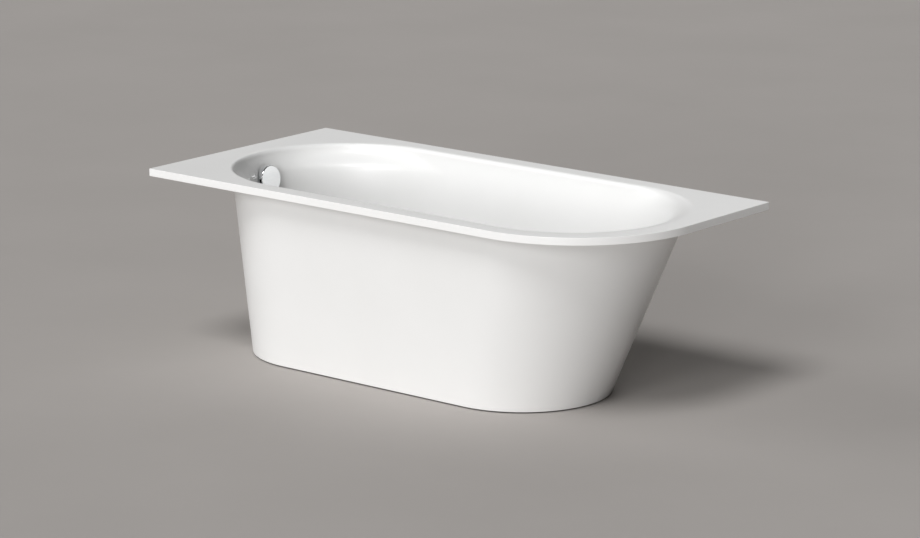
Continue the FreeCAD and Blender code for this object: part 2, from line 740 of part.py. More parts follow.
back_bracket_left_x = rim_left + dim("back_bracket_start")
first_back_bracket = back_bracket("back_wall_bracket_left", back_bracket_left_x)
back_bracket_right_x = back_bracket_left_x + dim("back_bracket_spacing")
second_back_bracket = back_bracket("back_wall_bracket_right", back_bracket_right_x)
end_bracket = left_bracket("left_wall_bracket", dim("left_bracket_place") - rim_back)
back_wall_bracket_left = first_back_bracket[0]
back_wall_bracket_right = second_back_bracket[0]
left_wall_bracket = end_bracket[0]
bracket_screws = group("bracket_screws", first_back_bracket[1] + second_back_bracket[1] + end_bracket[1])
back_batten = cut("back_batten", back_batten_blank, first_back_bracket[2] + second_back_bracket[2])
left_batten = cut("left_batten", left_batten_blank, end_bracket[2])


# Leg rails: channels open downwards, with a tapped plate welded in at each leg

def leg_places(rail_x):
    """X and Y of the two legs on a rail."""
    leg_y = rail_half - dim("leg_end_gap")
    return ((rail_x, -leg_y), (rail_x, leg_y))


def leg_rail(name, rail_x):
    """A rail, the screws that hold it to the board, and their holes in the board."""
    low_left = (rail_x - dim("rail_width") / 2, -rail_half, rail_under)
    outside = box(name + "_outside", low_left, (dim("rail_width"), rail_half * 2, dim("rail_height")))
    inside_width = dim("rail_width") - dim("rail_wall") * 2
    inside = box(
        name + "_inside",
        (rail_x - inside_width / 2, -rail_half, rail_under),
        (inside_width, rail_half * 2, dim("rail_height") - dim("rail_wall")),
    )
    channel = cut(name + "_channel", outside, [inside])
    plates = []
    holes = []
    for side, (x, y) in zip(("front", "rear"), leg_places(rail_x)):
        plates.append(box(
            f"{name}_{side}_nut_plate",
            (x - inside_width / 2, y - inside_width / 2, rail_under),
            (inside_width, inside_width, dim("nut_plate_thickness")),
        ))
        holes.append(cylinder(
            f"{name}_{side}_stem_hole", (x, y, rail_under),
            dim("stem_diameter") + dim("stem_clearance") * 2, dim("nut_plate_thickness"),
        ))
    web_low = board_under - dim("rail_wall")
    screws = []
    pilots = []
    length = dim("rail_wall") + dim("rail_screw_depth")
    for side, sign in (("front", -1), ("rear", 1)):
        y = (board_half - dim("rail_screw_edge")) * sign
        shank = cylinder(f"{name}_{side}_shank", (rail_x, y, web_low), dim("rail_screw_diameter"), length)
        head = cylinder(
            f"{name}_{side}_head", (rail_x, y, web_low - dim("screw_head_height")),
            dim("screw_head_diameter"), dim("screw_head_height"),
        )
        screws.append(fuse(f"{name}_{side}_screw", [head, shank]))
        pilots.append(cylinder(
            f"{name}_{side}_pilot", (rail_x, y, web_low),
            dim("rail_screw_diameter") + dim("running_clearance") * 2, length + dim("running_clearance"),
        ))
    welded = fuse(name + "_welded", [channel] + plates)
    return cut(name, welded, holes + pilots), screws, pilots


rail_places = {
    "left": board_left + board_length * dim("left_rail_share"),
    "right": board_left + board_length * (1 - dim("right_rail_share")),
}
left_leg_rail, left_rail_screws, left_rail_pilots = leg_rail("left_leg_rail", rail_places["left"])
right_leg_rail, right_rail_screws, right_rail_pilots = leg_rail("right_leg_rail", rail_places["right"])
rail_screws = group("rail_screws", left_rail_screws + right_rail_screws)
base_board = cut("base_board", board_rounding, left_rail_pilots + right_rail_pilots)


# Levelling legs: a threaded stem with a spanner collar, standing in a foot pad

stem_low = dim("pad_height") - dim("stem_socket_depth")
stem_high = board_under - dim("rail_wall") - dim("stem_top_gap")
legs = []
lock_nut_list = []
for end, rail_x in rail_places.items():
    for side, (x, y) in zip(("front", "rear"), leg_places(rail_x)):
        corner = f"{end}_{side}"
        rod = cylinder(f"rod_{corner}", (x, y, stem_low), dim("stem_diameter"), stem_high - stem_low)
        seat = (x, y, dim("pad_height"))
        collar = hexagon(f"collar_{corner}", seat, dim("collar_across"), dim("collar_height"))
        legs.append(fuse(f"leg_stem_{corner}", [rod, collar]))
        socket = dim("stem_diameter") / 2 + dim("running_clearance")
        legs.append(place(turned(f"foot_pad_{corner}", [
            (0, 0),
            (dim("pad_diameter") / 2, 0),
            (dim("pad_diameter") / 2, dim("pad_edge_height")),
            (dim("pad_top_diameter") / 2, dim("pad_height")),
            (socket, dim("pad_height")),
            (socket, stem_low),
            (0, stem_low),
        ]), x, y))
        nut_low = rail_under - dim("lock_nut_height")
        nut = hexagon(f"nut_{corner}", (x, y, nut_low), dim("lock_nut_across"), dim("lock_nut_height"))
        bore = cylinder(
            f"nut_bore_{corner}", (x, y, nut_low),
            dim("stem_diameter") + dim("stem_clearance") * 2, dim("lock_nut_height"),
        )
        lock_nut_list.append(cut(f"lock_nut_{corner}", nut, [bore]))
lock_nuts = group("lock_nuts", lock_nut_list)


# Apron ties: strips from the rails and the board to tabs that lie along the apron's slope

def tie_outline(start, wall, low, gap):
    """A strip at a height that turns up along the apron; wall gives the apron's face at a height."""
    high = low + dim("bracket_thickness")
    top = low + dim("tie_height")

    def face(height):
        return wall(height) - gap

    return [
        (start, low),
        (face(low), low),
        (face(top), top),
        (face(top) - dim("bracket_thickness"), top),
        (face(high) - dim("bracket_thickness"), high),
        (start, high),
    ]


def front_tie(name, rail_x):
    """A tie on the front end of a rail; its outline is drawn towards the back and turned round."""
    def wall(height):
        return apron_inside_front(rail_x + dim("tie_width") / 2, height)

    points = tie_outline(rail_half - dim("tie_lap"), wall, board_under, dim("tie_gap"))
    body = extruded(name, "YZ_Plane", [(-across, up) for across, up in points], dim("tie_width"))
    return place(body, rail_x)


front_tie_left = front_tie("apron_tie_left", rail_places["left"])
front_tie_right = front_tie("apron_tie_right", rail_places["right"])
end_tie_start = board_left + board_length - dim("tie_lap")


def end_wall(height):
    """X of the apron's inside face at its right end, at a height."""
    centre, radius = apron_right_end(height)
    return centre + radius


end_tie = extruded(
    "apron_tie_end", "XZ_Plane",
    tie_outline(end_tie_start, end_wall, board_under - dim("bracket_thickness"), dim("end_tie_gap")),
    dim("tie_width"),
)
doc.recompute()


# Overflow set, in heights along the overflow axis from the seat

hole_radius = dim("overflow_hole_diameter") / 2
spindle_bore = dim("spindle_diameter") / 2 + dim("running_clearance")
gasket_back = -dim("seat_back") - dim("overflow_gasket_thickness")
cup_front = gasket_back - dim("overflow_flange_thickness")
cup_back = cup_front - dim("cup_depth")
cup_inside = cup_back + dim("cup_wall")
boss_front = cup_inside + dim("spindle_boss_length")

overflow_gasket = on_overflow_axis(ring(
    "overflow_gasket", dim("overflow_hole_diameter"), dim("overflow_flange_diameter"),
    gasket_back, -dim("seat_back"),
))

knob_radius = dim("knob_diameter") / 2
knob_inside = dim("knob_depth") - dim("knob_wall")
knob_hub_back = dim("plate_thickness") + dim("plate_hub_rise") + dim("knob_hub_gap")
knob_cap = on_overflow_axis(turned("knob_cap", [
    (0, dim("spindle_front")),
    (spindle_bore, dim("spindle_front")),
    (spindle_bore, knob_hub_back),
    (dim("knob_hub_diameter") / 2, knob_hub_back),
    (dim("knob_hub_diameter") / 2, knob_inside),
    (knob_radius - dim("knob_wall"), knob_inside),
    (knob_radius - dim("knob_wall"), dim("knob_gap")),
    (knob_radius, dim("knob_gap")),
    (knob_radius, dim("knob_depth") - dim("knob_bevel")),
    (knob_radius - dim("knob_bevel"), dim("knob_depth")),
    (0, dim("knob_depth")),
]))
notch_tool = on_overflow_axis(extruded("knob_notch", "YZ_Plane", [
    (-knob_radius * 2, knob_inside - dim("knob_notch_length")),
    (-knob_radius / 2, knob_inside - dim("knob_notch_length")),
    (-knob_radius / 2, knob_inside),
    (-knob_radius * 2, knob_inside),
], dim("knob_notch_width")))
overflow_knob = cut("overflow_knob", knob_cap, [notch_tool])

spindle_radius = dim("spindle_diameter") / 2
drum_back = boss_front + dim("drum_gap")
drum_front = drum_back + dim("drum_thickness")
knob_spindle = on_overflow_axis(turned("knob_spindle", [
    (0, cup_inside + dim("spindle_end_gap")),
    (spindle_radius, cup_inside + dim("spindle_end_gap")),
    (spindle_radius, drum_back),
    (dim("drum_diameter") / 2, drum_back),
    (dim("drum_diameter") / 2, drum_front),
    (spindle_radius, drum_front),
    (spindle_radius, dim("spindle_front")),
    (0, dim("spindle_front")),
]))

plate_tube = hole_radius - dim("seat_clearance")
plate_disc = on_overflow_axis(turned("plate_disc", [
    (spindle_bore, 0),
    (plate_tube - dim("plate_tube_wall"), 0),
    (plate_tube - dim("plate_tube_wall"), -dim("plate_tube_length")),
    (plate_tube, -dim("plate_tube_length")),
    (plate_tube, 0),
    (dim("plate_diameter") / 2, 0),
    (dim("plate_diameter") / 2, dim("plate_thickness")),
    (dim("plate_hub_diameter") / 2, dim("plate_thickness")),
    (dim("plate_hub_diameter") / 2, dim("plate_thickness") + dim("plate_hub_rise")),
    (spindle_bore, dim("plate_thickness") + dim("plate_hub_rise")),
]))
PLATE_HOLES = 6
water_holes = doc.addObject("PartDesign::Body", "water_holes")
water_sketch = new_sketch(water_holes, "water_hole_ring", "XY_Plane")
for index in range(PLATE_HOLES):
    turn = 2 * math.pi * index / PLATE_HOLES
    across = dim("plate_hole_ring") / 2 * math.cos(turn)
    up = dim("plate_hole_ring") / 2 * math.sin(turn)
    hole = Part.Circle(Vector(across.value, up.value), Vector(0, 0, 1), dim("plate_hole_diameter").value / 2)
    sketch_index = water_sketch.addGeometry(hole, False)
    constrain(water_sketch, across, "DistanceX", -1, 1, sketch_index, 3)
    constrain(water_sketch, up, "DistanceY", -1, 1, sketch_index, 3)
    constrain(water_sketch, dim("plate_hole_diameter") / 2, "Radius", sketch_index)
water_pad = water_holes.newObject("PartDesign::Pad", "water_hole_pad")
water_pad.Profile = water_sketch
bind(water_pad, "Length", dim("plate_thickness"))
water_pad.AllowMultiFace = True
on_overflow_axis(water_holes)
overflow_plate = cut("overflow_plate", plate_disc, [water_holes])

spigot_x, spigot_z = overflow_point(cup_front - dim("cup_depth") / 2)
spigot_low = spigot_z - dim("spigot_length")
pipe_bore = dim("pipe_diameter") + dim("seat_clearance") * 2
pipe_inside = dim("pipe_diameter") - dim("pipe_wall") * 2
spigot_outside = pipe_bore + dim("spigot_wall") * 2
cup_block = on_overflow_axis(turned("cup_block", [
    (0, cup_back),
    (dim("cup_diameter") / 2, cup_back),
    (dim("cup_diameter") / 2, cup_front),
    (dim("overflow_flange_diameter") / 2, cup_front),
    (dim("overflow_flange_diameter") / 2, gasket_back),
    (0, gasket_back),
]))
cup_hollow = on_overflow_axis(turned("cup_hollow", [
    (spindle_bore, cup_inside),
    (spindle_bore, boss_front),
    (dim("spindle_boss_diameter") / 2, boss_front),
    (dim("spindle_boss_diameter") / 2, cup_inside),
    (dim("cup_diameter") / 2 - dim("cup_wall"), cup_inside),
    (dim("cup_diameter") / 2 - dim("cup_wall"), cup_front),
    (hole_radius, cup_front),
    (hole_radius, gasket_back),
    (0, gasket_back),
    (0, cup_inside),
]))
spigot = cylinder("spigot", (spigot_x, 0, spigot_low), spigot_outside, dim("spigot_length"))
spigot_socket = cylinder("spigot_socket", (spigot_x, 0, spigot_low), pipe_bore, dim("pipe_insert"))
spigot_bore = cylinder("spigot_bore", (spigot_x, 0, spigot_low), pipe_inside, dim("spigot_length"))
top_nipple = cylinder(
    "top_nipple", (spigot_x, 0, spigot_z), dim("nipple_diameter"),
    dim("cup_diameter") / 2 + dim("top_nipple_length"), "y",
)
overflow_block = fuse("overflow_block", [cup_block, spigot, top_nipple])
overflow_body = cut("overflow_body", overflow_block, [cup_hollow, spigot_socket, spigot_bore])


# Waste set, in heights of the whole tub

waste_top = floor_under - dim("waste_gasket_thickness")
waste_low = waste_top - dim("waste_body_height")
waste_floor = waste_low + dim("waste_body_wall")
waste_inside = dim("waste_body_diameter") - dim("waste_body_wall") * 2
inlet_z = waste_top - dim("inlet_drop")
inlet_end = waste_x - dim("waste_body_diameter") / 2 - dim("inlet_length")
bridge_high = waste_top - dim("bridge_drop")
bridge_low = bridge_high - dim("bridge_thickness")
clamp_bore = dim("clamp_screw_diameter") + dim("seat_clearance") * 2
lever_x = waste_x - dim("lever_arm")
lever_z = waste_floor + dim("lever_rise")
pin_bore = dim("lever_pin_diameter") + dim("running_clearance") * 2

flange_low = floor_top - dim("flange_tube_length")
flange_high = floor_top + dim("flange_thickness")
flange_tube = dim("flange_tube_diameter") / 2
flange_inside = flange_tube - dim("flange_tube_wall")
flange_dish = on_waste_axis(turned("flange_dish", [
    (flange_inside, flange_low),
    (flange_tube, flange_low),
    (flange_tube, floor_top),
    (dim("flange_diameter") / 2, floor_top),
    (dim("flange_diameter") / 2, flange_high - dim("flange_bevel")),
    (dim("flange_diameter") / 2 - dim("flange_bevel"), flange_high),
    (flange_inside + dim("flange_bevel"), flange_high),
    (flange_inside, flange_high - dim("flange_bevel")),
]))
spider = box(
    "spider", (waste_x - flange_tube + dim("flange_bevel"), -dim("spider_width") / 2, flange_low),
    ((flange_tube - dim("flange_bevel")) * 2, dim("spider_width"), dim("spider_thickness")),
)
spider_bore = cylinder("spider_bore", (waste_x, 0, flange_low), clamp_bore, dim("spider_thickness"))
waste_flange = cut("waste_flange", fuse("flange_and_spider", [flange_dish, spider]), [spider_bore])

waste_gasket = on_waste_axis(ring(
    "waste_gasket", dim("waste_hole_diameter"), dim("waste_body_diameter"), waste_top, floor_under,
))

waste_drum = on_waste_axis(disc("waste_drum", dim("waste_body_diameter"), waste_low, waste_top))
tail_low = waste_low - dim("tail_length")
tail = on_waste_axis(disc("tail", dim("tail_diameter"), tail_low, waste_floor))
inlet = cylinder("inlet", (inlet_end, 0, inlet_z), spigot_outside, waste_x - inlet_end, "x")
NIPPLE_TURN = FreeCAD.Rotation(Vector(-1, -1, 0), 90)
DIAGONAL = math.sqrt(0.5)
cable_z = waste_low + dim("cable_rise")
low_nipple_reach = dim("waste_body_diameter") / 2 + dim("low_nipple_length")
low_nipple = cylinder("low_nipple", (waste_x, 0, cable_z), dim("nipple_diameter"), low_nipple_reach)
low_nipple.Placement = FreeCAD.Placement(Vector(), NIPPLE_TURN)
place(low_nipple, waste_x, 0, cable_z)
waste_hollow = on_waste_axis(disc("waste_hollow", waste_inside, waste_floor, waste_top))
tail_inside = dim("tail_diameter") - dim("tail_wall") * 2
tail_bore = on_waste_axis(disc("tail_bore", tail_inside, tail_low, waste_floor))
inlet_socket = cylinder("inlet_socket", (inlet_end, 0, inlet_z), pipe_bore, dim("pipe_insert"), "x")
inlet_bore = cylinder("inlet_bore", (inlet_end, 0, inlet_z), pipe_inside, waste_x - inlet_end, "x")
pin_half = Size(
    math.sqrt((waste_inside.value / 2) ** 2 - dim("lever_arm").value ** 2),
    f"sqrt(({waste_inside.text} / 2) ^ 2 - {dim('lever_arm').text} ^ 2)",
) + dim("pin_seat")
pin_hole = cylinder(
    "pin_hole", (lever_x, -pin_half - dim("running_clearance"), lever_z),
    pin_bore, (pin_half + dim("running_clearance")) * 2, "y",
)
waste_cup = cut(
    "waste_cup", fuse("waste_block", [waste_drum, tail, inlet, low_nipple]),
    [waste_hollow, tail_bore, inlet_socket, inlet_bore, pin_hole],
)
bridge_half = waste_inside / 2 + dim("bridge_lap")
bridge = box(
    "bridge", (waste_x - dim("spider_width") / 2, -bridge_half, bridge_low),
    (dim("spider_width"), bridge_half * 2, dim("bridge_thickness")),
)
bridge_bore = cylinder("bridge_bore", (waste_x, 0, bridge_low), clamp_bore, dim("bridge_thickness"))
waste_body = cut("waste_body", fuse("waste_cup_and_bridge", [waste_cup, bridge]), [bridge_bore])

stem_radius = dim("plug_stem_diameter") / 2
screw_bore = stem_radius + dim("running_clearance")
spider_high = flange_low + dim("spider_thickness")
clamp_screw = on_waste_axis(turned("clamp_screw", [
    (screw_bore, bridge_low),
    (dim("clamp_screw_diameter") / 2, bridge_low),
    (dim("clamp_screw_diameter") / 2, spider_high),
    (dim("clamp_head_diameter") / 2, spider_high),
    (dim("clamp_head_diameter") / 2, spider_high + dim("clamp_head_height")),
    (screw_bore, spider_high + dim("clamp_head_height")),
]))

plug_low = flange_high + dim("plug_gap")
plug_radius = dim("plug_diameter") / 2
plug_shoulder = plug_low + dim("plug_edge")
plug_outline = [(0, plug_low), (plug_radius, plug_low)]
for step in range(DOME_STEPS, -1, -1):
    share = step / DOME_STEPS
    plug_outline.append((plug_radius * share, plug_shoulder + dim("plug_dome") * (1 - share ** 2)))
plug_cap = on_waste_axis(turned("plug_cap", plug_outline))
plug_stem_low = lever_z + dim("lever_thickness") / 2 + dim("lever_gap")
plug_stem = on_waste_axis(disc("plug_stem", dim("plug_stem_diameter"), plug_stem_low, plug_low))
plug_seal = on_waste_axis(ring(
    "plug_seal", screw_bore * 2, (flange_inside - dim("plug_seal_gap")) * 2,
    plug_low - dim("plug_seal_thickness"), plug_low,
))

lever_front = -dim("lever_width") / 2
lever_hub = cylinder(
    "lever_hub", (lever_x, lever_front, lever_z), dim("lever_hub_diameter"), dim("lever_width"), "y",
)
lever_tip = cylinder(
    "lever_tip", (waste_x, lever_front, lever_z), dim("lever_thickness"), dim("lever_width"), "y",
)
lever_bar = box(
    "lever_bar", (lever_x, lever_front, lever_z - dim("lever_thickness") / 2),
    (dim("lever_arm"), dim("lever_width"), dim("lever_thickness")),
)
lever_bore = cylinder("lever_bore", (lever_x, lever_front, lever_z), pin_bore, dim("lever_width"), "y")
lift_lever = cut("lift_lever", fuse("lever_blank", [lever_hub, lever_tip, lever_bar]), [lever_bore])
lever_pin = cylinder("lever_pin", (lever_x, -pin_half, lever_z), dim("lever_pin_diameter"), pin_half * 2, "y")
doc.recompute()


# Overflow pipe and control cable: round sections swept along straight runs and tangent arcs

def rounded_path(points, radii):
    """A wire through the points, with each inner corner rounded to its radius."""
    edges = []
    start = points[0]
    for before, corner, after, radius in zip(points, points[1:], points[2:], radii):
        come = (corner - before).normalize()
        leave = (after - corner).normalize()
        half_turn = come.getAngle(leave) / 2
        back_off = radius * math.tan(half_turn)
        arc_start = corner - come * back_off
        arc_end = corner + leave * back_off
        inwards = (leave - come).normalize()
        arc_middle = corner + inwards * (radius / math.cos(half_turn) - radius)
        edges.append(Part.LineSegment(start, arc_start).toShape())
        edges.append(Part.Arc(arc_start, arc_middle, arc_end).toShape())
        start = arc_end
    edges.append(Part.LineSegment(start, points[-1]).toShape())
    return Part.Wire(edges)


def swept(path, diameter):
    """A solid round bar along a path."""
    start = path.Edges[0]
    first = start.FirstParameter
    circle = Part.makeCircle(diameter / 2, start.valueAt(first), start.tangentAt(first))
    return path.makePipeShell([Part.Wire(circle)], True, False)


def feature(label, shape):
    """A sub-part whose shape is worked out here from the sheet's sizes."""
    thing = doc.addObject("Part::Feature", label)
    thing.Shape = shape
    thing.Placement = FreeCAD.Placement()
    return thing


def point(*sizes):
    return Vector(*[as_size(size).value for size in sizes])


pipe_path = rounded_path([
    point(spigot_x, 0, spigot_low + dim("pipe_insert")),
    point(spigot_x, 0, inlet_z),
    point(inlet_end + dim("pipe_insert"), 0, inlet_z),
], [dim("pipe_bend_radius").value])
pipe_solid = swept(pipe_path, dim("pipe_diameter").value)
overflow_pipe = feature("overflow_pipe", pipe_solid.cut(swept(pipe_path, pipe_inside.value)))

cable_turn_x = waste_x - dim("cable_side")
cable_path = rounded_path([
    point(spigot_x, dim("cup_diameter") / 2 + dim("top_nipple_length"), spigot_z),
    point(spigot_x, dim("cable_side"), spigot_z),
    point(spigot_x, dim("cable_side"), cable_z),
    point(cable_turn_x, dim("cable_side"), cable_z),
    point(waste_x - low_nipple_reach * DIAGONAL, low_nipple_reach * DIAGONAL, cable_z),
], [dim(name).value for name in ("cable_top_bend", "cable_low_bend", "cable_end_bend")])
control_cable = feature("control_cable", swept(cable_path, dim("cable_diameter").value))
for part, path, area in (
    (overflow_pipe, pipe_path, dim("pipe_diameter").value ** 2 - pipe_inside.value ** 2),
    (control_cable, cable_path, dim("cable_diameter").value ** 2),
):
    print(part.Label, "volume", part.Shape.Volume, "section times length", area * math.pi / 4 * path.Length)


def pipe_nut(label):
    """A compression nut, its lip round the pipe and its skirt round the spigot above."""
    skirt_inside = spigot_outside / 2 + dim("seat_clearance")
    skirt_outside = skirt_inside + dim("pipe_nut_wall")
    return turned(label, [
        (pipe_bore / 2, -dim("pipe_nut_lip")),
        (skirt_outside, -dim("pipe_nut_lip")),
        (skirt_outside, dim("pipe_nut_height") - dim("pipe_nut_lip")),
        (skirt_inside, dim("pipe_nut_height") - dim("pipe_nut_lip")),
        (skirt_inside, 0),
        (pipe_bore / 2, 0),
    ])


top_pipe_nut = place(pipe_nut("top_pipe_nut"), spigot_x, 0, spigot_low)
low_pipe_nut = pipe_nut("low_pipe_nut")
low_pipe_nut.Placement = FreeCAD.Placement(Vector(), FreeCAD.Rotation(*AXIS_TURNS["x"]))
place(low_pipe_nut, inlet_end, 0, inlet_z)
pipe_nuts = group("pipe_nuts", [top_pipe_nut, low_pipe_nut])

CLIP_COUNT = 3
clips = []
clip_run_low = inlet_z + dim("pipe_bend_radius")
clip_room = (spigot_low - dim("pipe_nut_lip") - clip_run_low) / CLIP_COUNT
clip_pipe = pipe_bore + dim("clip_wall") * 2
clip_cable = dim("cable_diameter") + dim("clip_wall") * 2
cable_bore = dim("cable_diameter") + dim("seat_clearance") * 2
for index in range(CLIP_COUNT):
    name = f"clip_{index + 1}"
    low = clip_run_low + clip_room * (index + 0.5) - dim("clip_width") / 2
    collar = cylinder(name + "_collar", (spigot_x, 0, low), clip_pipe, dim("clip_width"))
    eye = cylinder(name + "_eye", (spigot_x, dim("cable_side"), low), clip_cable, dim("clip_width"))
    arm = box(
        name + "_arm", (spigot_x - dim("clip_bridge") / 2, 0, low),
        (dim("clip_bridge"), dim("cable_side"), dim("clip_width")),
    )
    pipe_hole = cylinder(name + "_pipe_hole", (spigot_x, 0, low), pipe_bore, dim("clip_width"))
    cable_middle = (spigot_x, dim("cable_side"), low)
    cable_hole = cylinder(name + "_cable_hole", cable_middle, cable_bore, dim("clip_width"))
    clips.append(cut(name, fuse(name + "_blank", [collar, eye, arm]), [pipe_hole, cable_hole]))
cable_clips = group("cable_clips", clips)


# Trap: a cup round the dip tube, closed against the waste body by a union nut, with a side outlet

trap_inside = dim("waste_body_diameter") - dim("trap_wall") * 2
outlet_z = dim("trap_floor_gap") + dim("outlet_rise")
outlet_inside = dim("outlet_diameter") - dim("outlet_wall") * 2
trap_cup = on_waste_axis(disc("trap_cup", dim("waste_body_diameter"), dim("trap_floor_gap"), waste_low))
trap_floor = dim("trap_floor_gap") + dim("trap_wall")
trap_hollow = on_waste_axis(disc("trap_hollow", trap_inside, trap_floor, waste_low))
trap_spout = cylinder("trap_spout", (waste_x, 0, outlet_z), dim("outlet_diameter"), dim("outlet_reach"), "y")
trap_bore = cylinder("trap_bore", (waste_x, 0, outlet_z), outlet_inside, dim("outlet_reach"), "y")
trap_body = cut("trap_body", fuse("trap_block", [trap_cup, trap_spout]), [trap_hollow, trap_bore])

union_inside = dim("waste_body_diameter") + dim("seat_clearance") * 2
union_low = waste_low - dim("trap_nut_height") + dim("seat_clearance")
trap_nut = on_waste_axis(ring(
    "trap_nut", union_inside, union_inside + dim("trap_nut_wall") * 2, union_low, waste_low,
))

outlet_outer = cylinder(
    "outlet_outer", (waste_x, dim("outlet_reach"), outlet_z),
    dim("outlet_diameter"), dim("outlet_pipe_length"), "y",
)
outlet_hollow = cylinder(
    "outlet_hollow", (waste_x, dim("outlet_reach"), outlet_z), outlet_inside, dim("outlet_pipe_length"), "y",
)
outlet_bead = cylinder(
    "outlet_bead", (waste_x, dim("outlet_reach") + dim("outlet_bead_place"), outlet_z),
    dim("outlet_diameter") + dim("outlet_bead_height") * 2, dim("outlet_bead_width"), "y",
)
outlet_pipe = cut("outlet_pipe", fuse("outlet_blank", [outlet_outer, outlet_bead]), [outlet_hollow])

coupling_bore = dim("outlet_diameter") + dim("seat_clearance") * 2
coupling_start = dim("outlet_reach") - dim("outlet_nut_length") / 2
coupling_outer = cylinder(
    "coupling_outer", (waste_x, coupling_start, outlet_z),
    coupling_bore + dim("outlet_nut_wall") * 2, dim("outlet_nut_length"), "y",
)
coupling_hole = cylinder(
    "coupling_hole", (waste_x, coupling_start, outlet_z), coupling_bore, dim("outlet_nut_length"), "y",
)
outlet_nut = cut("outlet_nut", coupling_outer, [coupling_hole])
doc.recompute()


# Checks, then one file for each sub-part

sub_parts = [
    tub_shell, apron, base_board, back_batten, left_batten,
    back_wall_bracket_left, back_wall_bracket_right, left_wall_bracket, bracket_screws,
    left_leg_rail, right_leg_rail, rail_screws, lock_nuts, *legs,
    front_tie_left, front_tie_right, end_tie,
    overflow_knob, knob_spindle, overflow_plate, overflow_gasket, overflow_body,
    overflow_pipe, pipe_nuts, control_cable, cable_clips,
    waste_flange, waste_gasket, waste_body, clamp_screw,
    plug_cap, plug_stem, plug_seal, lift_lever, lever_pin,
    trap_body, trap_nut, outlet_pipe, outlet_nut,
]
for thing in doc.Objects:
    if "Invalid" in thing.State or "Error" in thing.State:
        raise RuntimeError(f"{thing.Label} failed: {thing.State}")
for thing in sub_parts:
    if thing.Shape.isNull() or not thing.Shape.isValid():
        raise RuntimeError(f"{thing.Label} has no valid shape")

os.makedirs("parts", exist_ok=True)
for thing in sub_parts:
    thing.Shape.exportStep(os.path.join("parts", thing.Label + ".step"))
print(len(sub_parts), "sub-parts written")
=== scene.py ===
"""Looks of the built-in bathtub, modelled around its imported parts."""

import json
import math

import bmesh
import bpy
from mathutils import Matrix, Vector

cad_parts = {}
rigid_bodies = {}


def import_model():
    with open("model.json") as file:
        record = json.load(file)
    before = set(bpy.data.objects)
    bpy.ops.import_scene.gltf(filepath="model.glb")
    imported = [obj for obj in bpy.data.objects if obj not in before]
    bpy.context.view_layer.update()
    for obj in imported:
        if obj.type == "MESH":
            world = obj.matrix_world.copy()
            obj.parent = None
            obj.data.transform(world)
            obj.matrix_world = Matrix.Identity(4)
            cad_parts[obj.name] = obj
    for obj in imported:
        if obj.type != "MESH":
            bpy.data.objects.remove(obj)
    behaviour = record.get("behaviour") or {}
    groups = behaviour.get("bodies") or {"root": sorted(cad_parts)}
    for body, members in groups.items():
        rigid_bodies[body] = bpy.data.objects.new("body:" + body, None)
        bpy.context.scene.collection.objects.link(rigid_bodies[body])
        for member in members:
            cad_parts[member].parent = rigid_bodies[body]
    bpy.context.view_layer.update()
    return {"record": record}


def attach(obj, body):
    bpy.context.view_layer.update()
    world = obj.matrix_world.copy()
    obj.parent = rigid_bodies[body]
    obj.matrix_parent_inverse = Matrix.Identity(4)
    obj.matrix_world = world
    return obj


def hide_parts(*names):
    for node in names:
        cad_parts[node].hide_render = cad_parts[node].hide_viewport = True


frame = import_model()
scene = bpy.context.scene
scene.view_settings.view_transform = "Standard"

# Sizes are in millimetres, as in the part's source, and meshes are scaled to metres when made
MILLIMETRE = 0.001
QUARTER = math.pi / 2


# Materials

